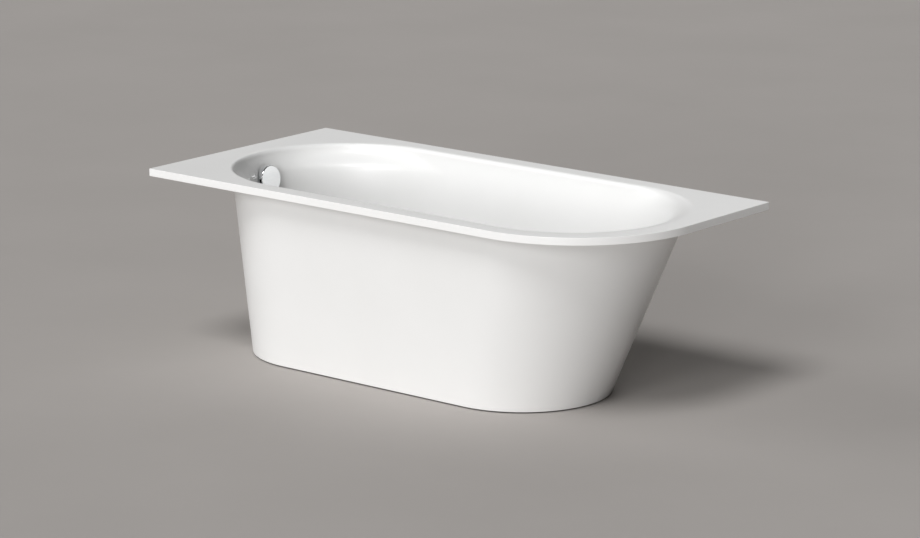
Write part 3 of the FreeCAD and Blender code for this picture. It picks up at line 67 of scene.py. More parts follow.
class Finish:
    """A principled material whose colour, roughness and relief come from textures in the object's space."""

    def __init__(self, name, **sockets):
        self.material = bpy.data.materials.new(name)
        self.material.use_nodes = True
        self.tree = self.material.node_tree
        self.shader = self.tree.nodes["Principled BSDF"]
        for socket, value in sockets.items():
            self.shader.inputs[socket.replace("_", " ")].default_value = value

    def texture(self, kind, scale, stretch=(1, 1, 1), turn=(0, 0, 0), **inputs):
        """A texture over the object's coordinates, stretched and turned, with its details set."""
        place = self.tree.nodes.new("ShaderNodeTexCoord")
        mapping = self.tree.nodes.new("ShaderNodeMapping")
        mapping.inputs["Scale"].default_value = stretch
        mapping.inputs["Rotation"].default_value = turn
        self.tree.links.new(place.outputs["Object"], mapping.inputs["Vector"])
        node = self.tree.nodes.new(kind)
        node.inputs["Scale"].default_value = scale
        for socket, value in inputs.items():
            node.inputs[socket.replace("_", " ")].default_value = value
        self.tree.links.new(mapping.outputs["Vector"], node.inputs["Vector"])
        return node

    def noise(self, scale, detail=3, **where):
        """Cloudy values, with a scale in clouds per metre."""
        return self.texture("ShaderNodeTexNoise", scale, Detail=detail, **where).outputs["Fac"]

    def cells(self, scale, **where):
        """A value of its own for each cell."""
        split = self.tree.nodes.new("ShaderNodeSeparateColor")
        cells = self.texture("ShaderNodeTexVoronoi", scale, **where)
        self.tree.links.new(cells.outputs["Color"], split.inputs["Color"])
        return split.outputs["Red"]

    def bands(self, scale, **where):
        """Wavy bands across the object's X axis."""
        return self.texture("ShaderNodeTexWave", scale, **where).outputs["Fac"]

    def colour(self, source, *stops):
        """Base colour from a ramp of places and colours over a texture."""
        ramp = self.tree.nodes.new("ShaderNodeValToRGB")
        points = ramp.color_ramp.elements
        while len(points) < len(stops):
            points.new(1)
        for point, (place, colour) in zip(points, stops):
            point.position = place
            point.color = (*colour, 1)
        self.tree.links.new(source, ramp.inputs["Fac"])
        self.tree.links.new(ramp.outputs["Color"], self.shader.inputs["Base Color"])

    def roughness(self, source, low, high):
        """Roughness between two values."""
        span = self.tree.nodes.new("ShaderNodeMapRange")
        span.inputs["To Min"].default_value = low
        span.inputs["To Max"].default_value = high
        self.tree.links.new(source, span.inputs["Value"])
        self.tree.links.new(span.outputs["Result"], self.shader.inputs["Roughness"])

    def relief(self, source, depth):
        """Relief of a depth in metres, on top of what was added before."""
        bump = self.tree.nodes.new("ShaderNodeBump")
        bump.inputs["Distance"].default_value = depth
        self.tree.links.new(source, bump.inputs["Height"])
        normal = self.shader.inputs["Normal"]
        if normal.is_linked:
            self.tree.links.new(normal.links[0].from_socket, bump.inputs["Normal"])
        self.tree.links.new(bump.outputs["Normal"], normal)


def acrylic_finish():
    """White sanitary acrylic with a faint orange-peel surface."""
    finish = Finish("white_acrylic")
    finish.colour(finish.noise(scale=4), (0.3, (0.812, 0.812, 0.804)), (0.7, (0.828, 0.828, 0.822)))
    finish.roughness(finish.noise(scale=30), low=0.29, high=0.38)
    finish.relief(finish.noise(scale=80, detail=0), depth=0.00001)
    return finish.material


def backing_finish():
    """Sprayed resin over chopped glass strands, on the outside of the basin."""
    finish = Finish("glass_fibre_backing")
    strands = finish.noise(scale=60, detail=4, stretch=(1, 7, 4), turn=(0.3, 0.5, 0.7))
    finish.colour(strands, (0.3, (0.6, 0.58, 0.5)), (0.5, (0.7, 0.69, 0.62)), (0.7, (0.78, 0.77, 0.71)))
    finish.roughness(finish.noise(scale=45), low=0.42, high=0.68)
    finish.relief(strands, depth=0.0012)
    crossing = finish.noise(scale=90, detail=4, stretch=(6, 1, 3), turn=(0.8, 0.2, 0.4))
    finish.relief(crossing, depth=0.0008)
    return finish.material


def board_finish():
    """Raw chipboard: pale and dark flakes pressed flat."""
    finish = Finish("chipboard")
    flakes = finish.cells(scale=170, stretch=(1, 1.7, 2.6), turn=(0, 0, 0.4))
    finish.colour(flakes, (0, (0.3, 0.19, 0.1)), (0.45, (0.5, 0.36, 0.21)), (1, (0.64, 0.5, 0.33)))
    finish.roughness(finish.noise(scale=120), low=0.68, high=0.88)
    finish.relief(flakes, depth=0.0004)
    return finish.material


ALONG_X = 0
ALONG_Y = 1
GRAIN_STRETCH = 0.06


def wood_finish(name, along):
    """Planed softwood with its rings running along an axis of the object."""
    finish = Finish(name)
    stretch = [1, 1, 1]
    stretch[along] = GRAIN_STRETCH
    rings = finish.noise(scale=95, detail=5, stretch=stretch)
    finish.colour(rings, (0.32, (0.46, 0.29, 0.14)), (0.48, (0.66, 0.48, 0.28)), (0.68, (0.76, 0.6, 0.39)))
    finish.roughness(rings, low=0.5, high=0.72)
    finish.relief(rings, depth=0.0003)
    return finish.material


def zinc_finish():
    """Hot-dip galvanised sheet with its spangle of crystals."""
    finish = Finish("galvanised_steel", Metallic=0.92)
    spangle = finish.cells(scale=105)
    finish.colour(spangle, (0, (0.42, 0.44, 0.46)), (1, (0.68, 0.7, 0.72)))
    finish.roughness(spangle, low=0.34, high=0.54)
    finish.relief(finish.noise(scale=420), depth=0.00008)
    return finish.material


def fastener_finish():
    """Bright zinc plate with a faint bloom."""
    finish = Finish("bright_zinc", Metallic=1)
    bloom = finish.noise(scale=130, detail=4)
    finish.colour(bloom, (0.3, (0.58, 0.57, 0.53)), (0.7, (0.76, 0.76, 0.73)))
    finish.roughness(bloom, low=0.29, high=0.44)
    finish.relief(finish.noise(scale=900, detail=2), depth=0.00004)
    return finish.material


def foot_finish():
    """Dark moulded plastic with a fine spark grain."""
    finish = Finish("foot_plastic")
    grain = finish.noise(scale=1100, detail=2)
    finish.colour(finish.noise(scale=50), (0.3, (0.032, 0.032, 0.035)), (0.7, (0.058, 0.058, 0.062)))
    finish.roughness(grain, low=0.46, high=0.7)
    finish.relief(grain, depth=0.0001)
    return finish.material


def chrome_finish():
    """Polished chrome plate with light wiping marks."""
    finish = Finish("polished_chrome", Metallic=1)
    wiping = finish.noise(scale=24, detail=5, stretch=(1, 1, 5))
    finish.colour(wiping, (0.3, (0.83, 0.845, 0.86)), (0.7, (0.88, 0.89, 0.9)))
    finish.roughness(wiping, low=0.035, high=0.1)
    finish.relief(finish.noise(scale=60, detail=2), depth=0.00001)
    return finish.material


def brass_finish():
    """Turned brass, a little dulled."""
    finish = Finish("turned_brass", Metallic=1)
    tarnish = finish.noise(scale=160, detail=4)
    finish.colour(tarnish, (0.3, (0.56, 0.37, 0.13)), (0.7, (0.8, 0.6, 0.27)))
    finish.roughness(tarnish, low=0.29, high=0.44)
    finish.relief(finish.bands(scale=700, turn=(0, QUARTER, 0)), depth=0.00003)
    return finish.material


def plastic_finish(name, dark, pale):
    """Moulded polypropylene with soft flow marks and a fine grain."""
    finish = Finish(name)
    flow = finish.noise(scale=28, detail=4, stretch=(1, 1, 0.3))
    finish.colour(flow, (0.3, dark), (0.7, pale))
    finish.roughness(finish.noise(scale=90), low=0.32, high=0.5)
    finish.relief(finish.noise(scale=700, detail=2), depth=0.00005)
    return finish.material


def rubber_finish():
    """Matt black rubber with a dusty bloom."""
    finish = Finish("black_rubber", Sheen_Weight=0.15)
    bloom = finish.noise(scale=110, detail=4)
    finish.colour(bloom, (0.3, (0.022, 0.022, 0.022)), (0.8, (0.055, 0.055, 0.054)))
    finish.roughness(finish.noise(scale=200), low=0.66, high=0.86)
    finish.relief(finish.noise(scale=800, detail=3), depth=0.0001)
    return finish.material


def cable_finish():
    """Dark cable sheath that shows the turns of the wire inside it."""
    finish = Finish("cable_sheath")
    turns = finish.bands(scale=180, turn=(0, QUARTER, 0))
    finish.colour(finish.noise(scale=80), (0.3, (0.05, 0.05, 0.054)), (0.7, (0.085, 0.085, 0.09)))
    finish.roughness(finish.noise(scale=150), low=0.38, high=0.55)
    finish.relief(turns, depth=0.00025)
    return finish.material


FINISHES = {
    "acrylic": acrylic_finish(),
    "board": board_finish(),
    "batten": wood_finish("back_softwood", ALONG_X),
    "zinc_steel": zinc_finish(),
    "fastener": fastener_finish(),
    "foot": foot_finish(),
    "chrome": chrome_finish(),
    "brass": brass_finish(),
    "pipe_plastic": plastic_finish("pipe_plastic_white", (0.72, 0.72, 0.7), (0.8, 0.8, 0.785)),
    "nut_plastic": plastic_finish("nut_plastic_grey", (0.3, 0.31, 0.32), (0.38, 0.39, 0.4)),
    "rubber": rubber_finish(),
    "cable": cable_finish(),
}
BACKING = backing_finish()

for subpart in frame["record"]["subparts"]:
    for slot in bpy.data.objects[subpart["node"]].material_slots:
        slot.material = FINISHES[subpart["material_slot"]]
bpy.data.objects["left_batten"].material_slots[0].material = wood_finish("left_softwood", ALONG_Y)


# Meshes

PIECES = []
SHARP_ANGLE = math.radians(35)


def mesh_in_metres(name, bm):
    """A mesh with its faces turned outwards, from a bmesh in millimetres that is used up."""
    bmesh.ops.recalc_face_normals(bm, faces=bm.faces)
    bmesh.ops.scale(bm, vec=Vector((MILLIMETRE,) * 3), verts=bm.verts)
    mesh = bpy.data.meshes.new(name)
    bm.to_mesh(mesh)
    bm.free()
    return mesh


def finish_mesh(name, bm, body, replaced, slot):
    """Turns a bmesh in millimetres into a smooth-shaded piece that rides on a body."""
    mesh = mesh_in_metres(name, bm)
    mesh.shade_smooth()
    mesh.set_sharp_from_angle(angle=SHARP_ANGLE)
    piece = bpy.data.objects.new(name, mesh)
    scene.collection.objects.link(piece)
    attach(piece, body)
    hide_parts(*replaced)
    mesh.materials.append(FINISHES[slot])
    PIECES.append(piece)
    return piece


def add_loop(bm, points):
    """New vertices at the points of a loop."""
    return [bm.verts.new(point) for point in points]


def skin(bm, loops, closed=True):
    """Quads between loops that follow each other and have as many points."""
    faces = []
    for low, high in zip(loops, loops[1:]):
        count = len(low)
        for index in range(count if closed else count - 1):
            after = (index + 1) % count
            faces.append(bm.faces.new((low[index], low[after], high[after], high[index])))
    return faces


def loop_edges(bm, loop):
    """The edges round a closed loop, made where they are missing."""
    edges = []
    for start, end in zip(loop, loop[1:] + loop[:1]):
        edges.append(bm.edges.get((start, end)) or bm.edges.new((start, end)))
    return edges


def fill_between(bm, *loops):
    """A flat face with the first loop as its outline and the others as holes."""
    edges = [edge for loop in loops for edge in loop_edges(bm, loop)]
    filled = bmesh.ops.triangle_fill(bm, use_beauty=True, use_dissolve=False, edges=edges)
    return [item for item in filled["geom"] if isinstance(item, bmesh.types.BMFace)]


def round_point(x, y, z, reach, angle):
    """The point at a reach and an angle from an upright axis."""
    return x + reach * math.cos(angle), y + reach * math.sin(angle), z


def circle_points(x, y, z, radius, count):
    """Points round an upright axis."""
    angles = [2 * math.pi * index / count for index in range(count)]
    return [round_point(x, y, z, radius, angle) for angle in angles]


def arc_points(x, y, radius, start, end, count):
    """Points along an arc, without its last point."""
    points = []
    for index in range(count):
        angle = start + (end - start) * index / count
        points.append((x + radius * math.cos(angle), y + radius * math.sin(angle)))
    return points


# Soft edges and cuts

SOFT_ANGLE = math.radians(40)
SOFT_SEGMENTS = 3


def soften(piece, width):
    """Rounds a piece's sharp edges by a width in millimetres."""
    bevel = piece.modifiers.new("edges", "BEVEL")
    bevel.width = width * MILLIMETRE
    bevel.segments = SOFT_SEGMENTS
    bevel.limit_method = "ANGLE"
    bevel.angle_limit = SOFT_ANGLE
    bevel.harden_normals = True


def carve(piece, tools):
    """Cuts closed meshes, given in millimetres, out of a piece for good."""
    for number, bm in enumerate(tools):
        mesh = mesh_in_metres(f"{piece.name}_tool_{number}", bm)
        tool = bpy.data.objects.new(mesh.name, mesh)
        scene.collection.objects.link(tool)
        modifier = piece.modifiers.new("carve", "BOOLEAN")
        modifier.operation = "DIFFERENCE"
        modifier.solver = "EXACT"
        modifier.object = tool
        bpy.context.view_layer.update()
        evaluated = piece.evaluated_get(bpy.context.evaluated_depsgraph_get())
        cut_mesh = bpy.data.meshes.new_from_object(evaluated)
        piece.modifiers.remove(modifier)
        old_mesh = piece.data
        piece.data = cut_mesh
        bpy.data.meshes.remove(old_mesh)
        bpy.data.objects.remove(tool)
    piece.data.shade_smooth()
    piece.data.set_sharp_from_angle(angle=SOFT_ANGLE)


# Basin outlines: straight sides, a half circle at the right end and a three-centred left end

RIM_LEFT = -850
RIM_RIGHT = 850
RIM_BACK = 400
RIM_TOP = 575
LIP_UNDER = 552
LIP_THICKNESS = 5
DECK_UNDER = 570
FLOOR_TOP = 145
SHELL_WALL = 5
MOUTH_ROUND = 12
FLOOR_ROUND = 90
BELT_HEIGHT = 505
END_ROLL = 120

MOUTH = {"left": -768, "right": 796, "half": 346, "nose": 335, "flank": 355}
BELT = {"left": -742, "right": 686.9, "half": 326, "nose": 210, "flank": 530}
FLOOR = {"left": -690, "right": 518, "half": 255, "nose": 200, "flank": 420}
GROWTH = {"left": -1, "right": 1, "half": 1, "nose": 1, "flank": 1}

ROUND_STEPS = 8
FLARE_STEPS = 14
WALL_STEPS = 36
FLOOR_STEPS = 18
NOSE_POINTS = 48
FLANK_POINTS = 22
SIDE_POINTS = 24
END_POINTS = 96


def ease(share):
    """A share that starts and ends without a slope."""
    return share * share * (3 - 2 * share)


def blend(start, end, share):
    """The outline a share of the way from one outline to another."""
    return {key: start[key] + (end[key] - start[key]) * share for key in start}


def grown(outline, distance):
    """The parallel outline a distance further out."""
    return {key: outline[key] + distance * GROWTH[key] for key in outline}


def end_roll(drop, offset):
    """How far the right end has rolled inwards at a drop below the rim, moved outwards by an offset."""
    radius = END_ROLL - offset
    depth = max(0, drop - offset)
    return math.sqrt(2 * radius * depth - depth * depth)


def flare_levels(offset):
    """Heights and outlines from the mouth down to the belt, moved outwards by an offset."""
    levels = []
    for step in range(ROUND_STEPS + 1):
        lean = QUARTER * step / ROUND_STEPS
        inset = (MOUTH_ROUND - offset) * math.sin(lean)
        drop = MOUTH_ROUND * (1 - math.cos(lean)) + offset * math.cos(lean)
        outline = grown(MOUTH, -inset)
        outline["right"] = MOUTH["right"] - end_roll(drop, offset)
        levels.append((RIM_TOP - drop, outline))
    flare_top = RIM_TOP - MOUTH_ROUND
    flare_outline = grown(MOUTH, offset - MOUTH_ROUND)
    wall_share = (flare_top - BELT_HEIGHT) / (BELT_HEIGHT - FLOOR_TOP)
    for step in range(1, FLARE_STEPS + 1):
        down = step / FLARE_STEPS
        eased = blend(flare_outline, grown(BELT, offset), ease(down))
        lean = wall_share * (down ** 3 - down ** 2)
        outline = {key: eased[key] + (FLOOR[key] - BELT[key]) * lean for key in eased}
        height = flare_top - (flare_top - BELT_HEIGHT) * down
        outline["right"] = MOUTH["right"] - end_roll(RIM_TOP - height, offset)
        levels.append((height, outline))
    return levels


def wall_levels(offset):
    """Heights and outlines from the belt down to the flat floor, moved outwards by an offset."""
    levels = []
    wall_height = BELT_HEIGHT - FLOOR_TOP
    straight = 1 - FLOOR_ROUND / wall_height
    for step in range(1, WALL_STEPS):
        share = straight * step / WALL_STEPS
        levels.append((BELT_HEIGHT - wall_height * share, grown(blend(BELT, FLOOR, share), offset)))
    for step in range(FLOOR_STEPS + 1):
        lean = QUARTER * step / FLOOR_STEPS
        rise = FLOOR_ROUND * (1 - math.sin(lean))
        wall = blend(BELT, FLOOR, 1 - rise / wall_height)
        inset = FLOOR_ROUND * (1 - math.cos(lean))
        outline = grown(wall, offset * math.cos(lean) - inset)
        levels.append((FLOOR_TOP + rise - offset * math.sin(lean), outline))
    return levels


def left_end(outline):
    """Centres and joining angle of the nose and flank arcs."""
    nose_x = outline["left"] + outline["nose"]
    spread = outline["flank"] - outline["half"]
    flank_x = nose_x + math.sqrt((outline["flank"] - outline["nose"]) ** 2 - spread ** 2)
    return nose_x, flank_x, spread, math.atan2(spread, flank_x - nose_x)


def outline_points(height, outline):
    """Points round a basin outline, starting at the back of the nose."""
    nose_x, flank_x, spread, join = left_end(outline)
    half = outline["half"]
    end_x = outline["right"] - half
    flat = arc_points(nose_x, 0, outline["nose"], math.pi - join, math.pi + join, NOSE_POINTS)
    flat += arc_points(flank_x, spread, outline["flank"], math.pi + join, 3 * QUARTER, FLANK_POINTS)
    for index in range(SIDE_POINTS):
        flat.append((flank_x + (end_x - flank_x) * index / SIDE_POINTS, -half))
    flat += arc_points(end_x, 0, half, -QUARTER, QUARTER, END_POINTS)
    for index in range(SIDE_POINTS):
        flat.append((end_x + (flank_x - end_x) * index / SIDE_POINTS, half))
    flat += arc_points(flank_x, -spread, outline["flank"], QUARTER, math.pi - join, FLANK_POINTS)
    return [(x, y, height) for x, y in flat]


def outside_distance(x, y, outline):
    """How far a point lies outside a basin outline; negative inside it."""
    nose_x, flank_x, spread, join = left_end(outline)
    half = outline["half"]
    end_x = outline["right"] - half
    side = -abs(y)
    if x > end_x:
        return math.hypot(x - end_x, side) - half
    if x > flank_x:
        return -side - half
    turn = math.atan2(spread - side, flank_x - x)
    if turn > join:
        return math.hypot(x - flank_x, side - spread) - outline["flank"]
    return math.hypot(x - nose_x, side) - outline["nose"]


# Overflow axis, square to the basin's left wall

OVERFLOW_SEAT = Vector((-741, 0, 491))
OVERFLOW_TILT = math.radians(8)
OVERFLOW_AXIS = Vector((math.cos(OVERFLOW_TILT), 0, math.sin(OVERFLOW_TILT)))
ON_OVERFLOW = Matrix.Translation(OVERFLOW_SEAT) @ Matrix.Rotation(QUARTER - OVERFLOW_TILT, 4, "Y")
SEAT_RADIUS = 45
SEAT_RELIEF = 0.3
SEAT_DEPTH = 22
OVERFLOW_HOLE_RADIUS = 23
BOSS_RADIUS = 52
BOSS_FADE = 14
BOSS_BACK = 9
WASTE_X = -500
WASTE_HOLE_RADIUS = 26
HOLE_POINTS = 64


# Tub shell

RIM_CORNER = 400
SMALL_CORNER = 3
CORNER_POINTS = 6
RIM_ARC_POINTS = 72
EDGE_ROUND = 1.6
EDGE_STEPS = 4
BACKING_SLOT = 1


def rim_points(height, inset):
    """Points round the rim: three nearly square corners and a quarter circle at the front right."""
    corners = (
        (RIM_LEFT + SMALL_CORNER, SMALL_CORNER - RIM_BACK, SMALL_CORNER, math.pi, CORNER_POINTS),
        (RIM_RIGHT - RIM_CORNER, RIM_CORNER - RIM_BACK, RIM_CORNER, 3 * QUARTER, RIM_ARC_POINTS),
        (RIM_RIGHT - SMALL_CORNER, RIM_BACK - SMALL_CORNER, SMALL_CORNER, 4 * QUARTER, CORNER_POINTS),
        (RIM_LEFT + SMALL_CORNER, RIM_BACK - SMALL_CORNER, SMALL_CORNER, 5 * QUARTER, CORNER_POINTS),
    )
    points = []
    for x, y, radius, start, count in corners:
        reach = radius - inset
        if reach > 0:
            flat = arc_points(x, y, reach, start, start + QUARTER, count)
            flat.append((x + reach * math.cos(start + QUARTER), y + reach * math.sin(start + QUARTER)))
        else:
            middle = start + QUARTER / 2
            shift = -reach * math.sqrt(2)
            flat = [(x - shift * math.cos(middle), y - shift * math.sin(middle))]
        points += [(x_flat, y_flat, height) for x_flat, y_flat in flat]
    return points


def boss_push(point):
    """Moves a point of the shell's outside back to the flat boss behind the overflow seat."""
    offset = Vector(point) - OVERFLOW_SEAT
    along = offset.dot(OVERFLOW_AXIS)
    radius = (offset - OVERFLOW_AXIS * along).length
    if radius > BOSS_RADIUS + BOSS_FADE or along > BOSS_RADIUS:
        return point
    fade = ease(min(1, max(0, (BOSS_RADIUS + BOSS_FADE - radius) / BOSS_FADE)))
    return tuple(Vector(point) + OVERFLOW_AXIS * (-BOSS_BACK - along) * fade)


def build_shell():
    """The deck with its turned-down lip and the basin inside and out, as one closed skin."""
    bm = bmesh.new()
    inside = [add_loop(bm, outline_points(*level)) for level in flare_levels(0) + wall_levels(0)]
    skin(bm, inside)
    outside = []
    for level in flare_levels(SHELL_WALL) + wall_levels(SHELL_WALL):
        outside.append(add_loop(bm, [boss_push(point) for point in outline_points(*level)]))
    backing = skin(bm, outside)
    edge = []
    for step in range(EDGE_STEPS + 1):
        lean = QUARTER * step / EDGE_STEPS
        drop = EDGE_ROUND * (1 - math.cos(lean))
        edge.append(add_loop(bm, rim_points(RIM_TOP - drop, EDGE_ROUND * (1 - math.sin(lean)))))
    for step in range(EDGE_STEPS + 1):
        lean = QUARTER * step / EDGE_STEPS
        drop = EDGE_ROUND * (1 - math.sin(lean))
        edge.append(add_loop(bm, rim_points(LIP_UNDER + drop, EDGE_ROUND * (1 - math.cos(lean)))))
    skin(bm, edge)
    lip_inside = []
    for height in (LIP_UNDER, DECK_UNDER):
        lip_inside.append(add_loop(bm, rim_points(height, LIP_THICKNESS)))
    skin(bm, lip_inside)
    fill_between(bm, edge[0], inside[0])
    fill_between(bm, edge[-1], lip_inside[0])
    backing += fill_between(bm, lip_inside[1], outside[0])
    hole_top = add_loop(bm, circle_points(WASTE_X, 0, FLOOR_TOP, WASTE_HOLE_RADIUS, HOLE_POINTS))
    hole_low = add_loop(
        bm, circle_points(WASTE_X, 0, FLOOR_TOP - SHELL_WALL, WASTE_HOLE_RADIUS, HOLE_POINTS)
    )
    skin(bm, [hole_top, hole_low])
    fill_between(bm, inside[-1], hole_top)
    backing += fill_between(bm, outside[-1], hole_low)
    for face in backing:
        face.material_index = BACKING_SLOT
    shell = finish_mesh("basin_and_rim", bm, "tub", ["tub_shell"], "acrylic")
    shell.data.materials.append(BACKING)
    return shell


# Apron

APRON_FOOT = {"left": -441, "right": 259, "radius": 268}
APRON_TOP = {"left": -386, "right": 409, "radius": 364}
APRON_LOW = 4
APRON_THICKNESS = 4
APRON_LEFT_Y = -130
APRON_BACK_X = 300
APRON_COLUMNS = 360
APRON_ROWS = 48
APRON_TRIM_STEPS = 400
APRON_EDGE = 0.9
APRON_BASIN_GAP = 2
BASIN_ROOM = SHELL_WALL + APRON_BASIN_GAP


def apron_at(height):
    """Centres and radius of the apron's oval at a height."""
    share = (height - APRON_LOW) / (DECK_UNDER - APRON_LOW)
    return blend(APRON_FOOT, APRON_TOP, share)


def apron_point(height, inset, share):
    """X and Y of a point a share of the way from the apron's left end round the front to its back end."""
    oval = apron_at(height)
    radius = oval["radius"] - inset
    left_turn = math.asin(-APRON_LEFT_Y / radius)
    reach = APRON_BACK_X - oval["right"]
    right_turn = QUARTER if reach < 0 else math.acos(reach / radius)
    left_arc = radius * (QUARTER - left_turn)
    front = oval["right"] - oval["left"]
    right_arc = radius * (QUARTER + right_turn)
    along = (left_arc + front + right_arc + max(0, -reach)) * share
    if along < left_arc:
        turn = math.pi + left_turn + along / radius
        return oval["left"] + radius * math.cos(turn), radius * math.sin(turn)
    along -= left_arc
    if along < front:
        return oval["left"] + along, -radius
    along -= front
    if reach > 0 or along < right_arc:
        turn = along / radius - QUARTER
        return oval["right"] + radius * math.cos(turn), radius * math.sin(turn)
    return oval["right"] + right_arc - along, radius


def basin_room_at(height, levels):
    """The basin's outline at a height, grown by the room that the apron leaves it."""
    for (high, high_outline), (low, low_outline) in zip(levels, levels[1:]):
        if low <= height <= high:
            return blend(low_outline, high_outline, (height - low) / (high - low))
    return levels[0][1] if height > levels[0][0] else levels[-1][1]


def apron_tops():
    """For each column of the apron, the height at which the basin's flare stops it."""
    levels = flare_levels(BASIN_ROOM) + wall_levels(BASIN_ROOM)
    lowest = levels[-1][0]
    tops = [DECK_UNDER] * (APRON_COLUMNS + 1)
    for step in range(APRON_TRIM_STEPS, 0, -1):
        height = lowest + (DECK_UNDER - lowest) * step / APRON_TRIM_STEPS
        outline = basin_room_at(height, levels)
        for column in range(APRON_COLUMNS + 1):
            x, y = apron_point(height, APRON_THICKNESS, column / APRON_COLUMNS)
            if outside_distance(x, y, outline) < 0:
                tops[column] = min(tops[column], height)
    return tops


def build_apron():
    """The tapered panel, its top edge trimmed under the flare and its ends open to the walls."""
    bm = bmesh.new()
    tops = apron_tops()
    sides = []
    for inset in (0, APRON_THICKNESS):
        rows = []
        for row in range(APRON_ROWS + 1):
            points = []
            for column, top in enumerate(tops):
                height = APRON_LOW + (top - APRON_LOW) * row / APRON_ROWS
                x, y = apron_point(height, inset, column / APRON_COLUMNS)
                points.append((x, y, height))
            rows.append(add_loop(bm, points))
        skin(bm, rows, closed=False)
        sides.append(rows)
    outer, inner = sides
    skin(bm, [outer[0], inner[0]], closed=False)
    skin(bm, [outer[-1], inner[-1]], closed=False)
    for column in (0, -1):
        skin(bm, [[row[column] for row in outer], [row[column] for row in inner]], closed=False)
    panel = finish_mesh("apron_panel", bm, "tub", ["apron"], "acrylic")
    soften(panel, APRON_EDGE)


# Turned pieces

LATHE_POINTS = 96
FILLET_STEPS = 5
AXIS_RADIUS = 0.01


def rounded(corners):
    """A profile of radius and height pairs, with each corner rounded by its third number."""
    profile = []
    count = len(corners)
    for index, (radius, height, fillet) in enumerate(corners):
        corner = Vector((radius, height))
        if not fillet:
            profile.append(corner)
            continue
        before = Vector(corners[index - 1][:2]) - corner
        after = Vector(corners[(index + 1) % count][:2]) - corner
        before.normalize()
        after.normalize()
        half = before.angle(after) / 2
        reach = fillet / math.tan(half)
        start = corner + before * reach
        end = corner + after * reach
        centre = corner + (before + after).normalized() * fillet / math.sin(half)
        first_arm = (start - centre).normalized()
        last_arm = (end - centre).normalized()
        for step in range(FILLET_STEPS + 1):
            profile.append(centre + first_arm.slerp(last_arm, step / FILLET_STEPS) * fillet)
    return profile


def lathe(bm, profile, matrix, count=LATHE_POINTS):
    """Turns a closed profile round a Z axis and places it with a matrix in millimetres."""
    rings = []
    for radius, height in profile:
        points = [(0, 0, height)]
        if radius > AXIS_RADIUS:
            points = circle_points(0, 0, height, radius, count)
        rings.append(add_loop(bm, [matrix @ Vector(point) for point in points]))
    for low, high in zip(rings, rings[1:] + rings[:1]):
        for index in range(count):
            after = (index + 1) % count
            places = ((low, index), (low, after), (high, after), (high, index))
            corners = list(dict.fromkeys(ring[place % len(ring)] for ring, place in places))
            if len(corners) > 2:
                bm.faces.new(corners)


def turned(name, corners, matrix, body, replaced, slot, count=LATHE_POINTS):
    """A turned piece from a profile with rounded corners."""
    bm = bmesh.new()
    lathe(bm, rounded(corners), matrix, count)
    return finish_mesh(name, bm, body, replaced, slot)


def add_block(bm, size, middle, matrix):
    """A closed box of a size round its middle, placed with a matrix in millimetres."""
    place = matrix @ Matrix.Translation(middle)
    bmesh.ops.create_cube(bm, size=1, matrix=place @ Matrix.Diagonal((*size, 1)))


def drum(radius, low, high, matrix):
    """A closed cylinder in millimetres, as a tool for carving."""
    bm = bmesh.new()
    profile = [Vector((0, low)), Vector((radius, low)), Vector((radius, high)), Vector((0, high))]
    lathe(bm, profile, matrix)
    return bm


# The cutters are turned a little, so that none of their edges lies on the basin's middle line
CUTTER_TURN = math.radians(1.3)
CUTTER_PLACE = ON_OVERFLOW @ Matrix.Rotation(CUTTER_TURN, 4, "Z")

basin = build_shell()
carve(basin, [
    drum(SEAT_RADIUS, -SEAT_RELIEF, SEAT_DEPTH, CUTTER_PLACE),
    drum(OVERFLOW_HOLE_RADIUS, -SEAT_RADIUS, SEAT_RADIUS, CUTTER_PLACE),
])
build_apron()


# Overflow knob: a hollow cap with a window in its edge

KNOB_RADIUS = 42
KNOB_BACK = 7
KNOB_FRONT = 22
KNOB_WALL = 3
KNOB_HUB_RADIUS = 9
SPINDLE_BORE = 4.08
SPINDLE_FRONT = 16
NOTCH_WIDTH = 12
NOTCH_LENGTH = 8
KNOB_HUB_ROUND = 0.5
KNOB_INSIDE_ROUND = 1
KNOB_LIP_INSIDE_ROUND = 0.6
KNOB_LIP_ROUND = 0.8
KNOB_EDGE_ROUND = 2.2
KNOB_POINTS = 144

knob = turned("overflow_knob_cap", [
    (0, SPINDLE_FRONT, 0),
    (SPINDLE_BORE, SPINDLE_FRONT, 0),
    (SPINDLE_BORE, KNOB_BACK, 0),
    (KNOB_HUB_RADIUS, KNOB_BACK, KNOB_HUB_ROUND),
    (KNOB_HUB_RADIUS, KNOB_FRONT - KNOB_WALL, KNOB_INSIDE_ROUND),
    (KNOB_RADIUS - KNOB_WALL, KNOB_FRONT - KNOB_WALL, KNOB_INSIDE_ROUND),
    (KNOB_RADIUS - KNOB_WALL, KNOB_BACK, KNOB_LIP_INSIDE_ROUND),
    (KNOB_RADIUS, KNOB_BACK, KNOB_LIP_ROUND),
    (KNOB_RADIUS, KNOB_FRONT, KNOB_EDGE_ROUND),
    (0, KNOB_FRONT, 0),
], ON_OVERFLOW, "knob", ["overflow_knob"], "chrome", count=KNOB_POINTS)
window = bmesh.new()
window_middle = (0, -KNOB_RADIUS, KNOB_FRONT - KNOB_WALL - NOTCH_LENGTH / 2)
add_block(window, (NOTCH_WIDTH, KNOB_RADIUS, NOTCH_LENGTH), window_middle, ON_OVERFLOW)
carve(knob, [window])


# Plug and waste flange in the basin floor

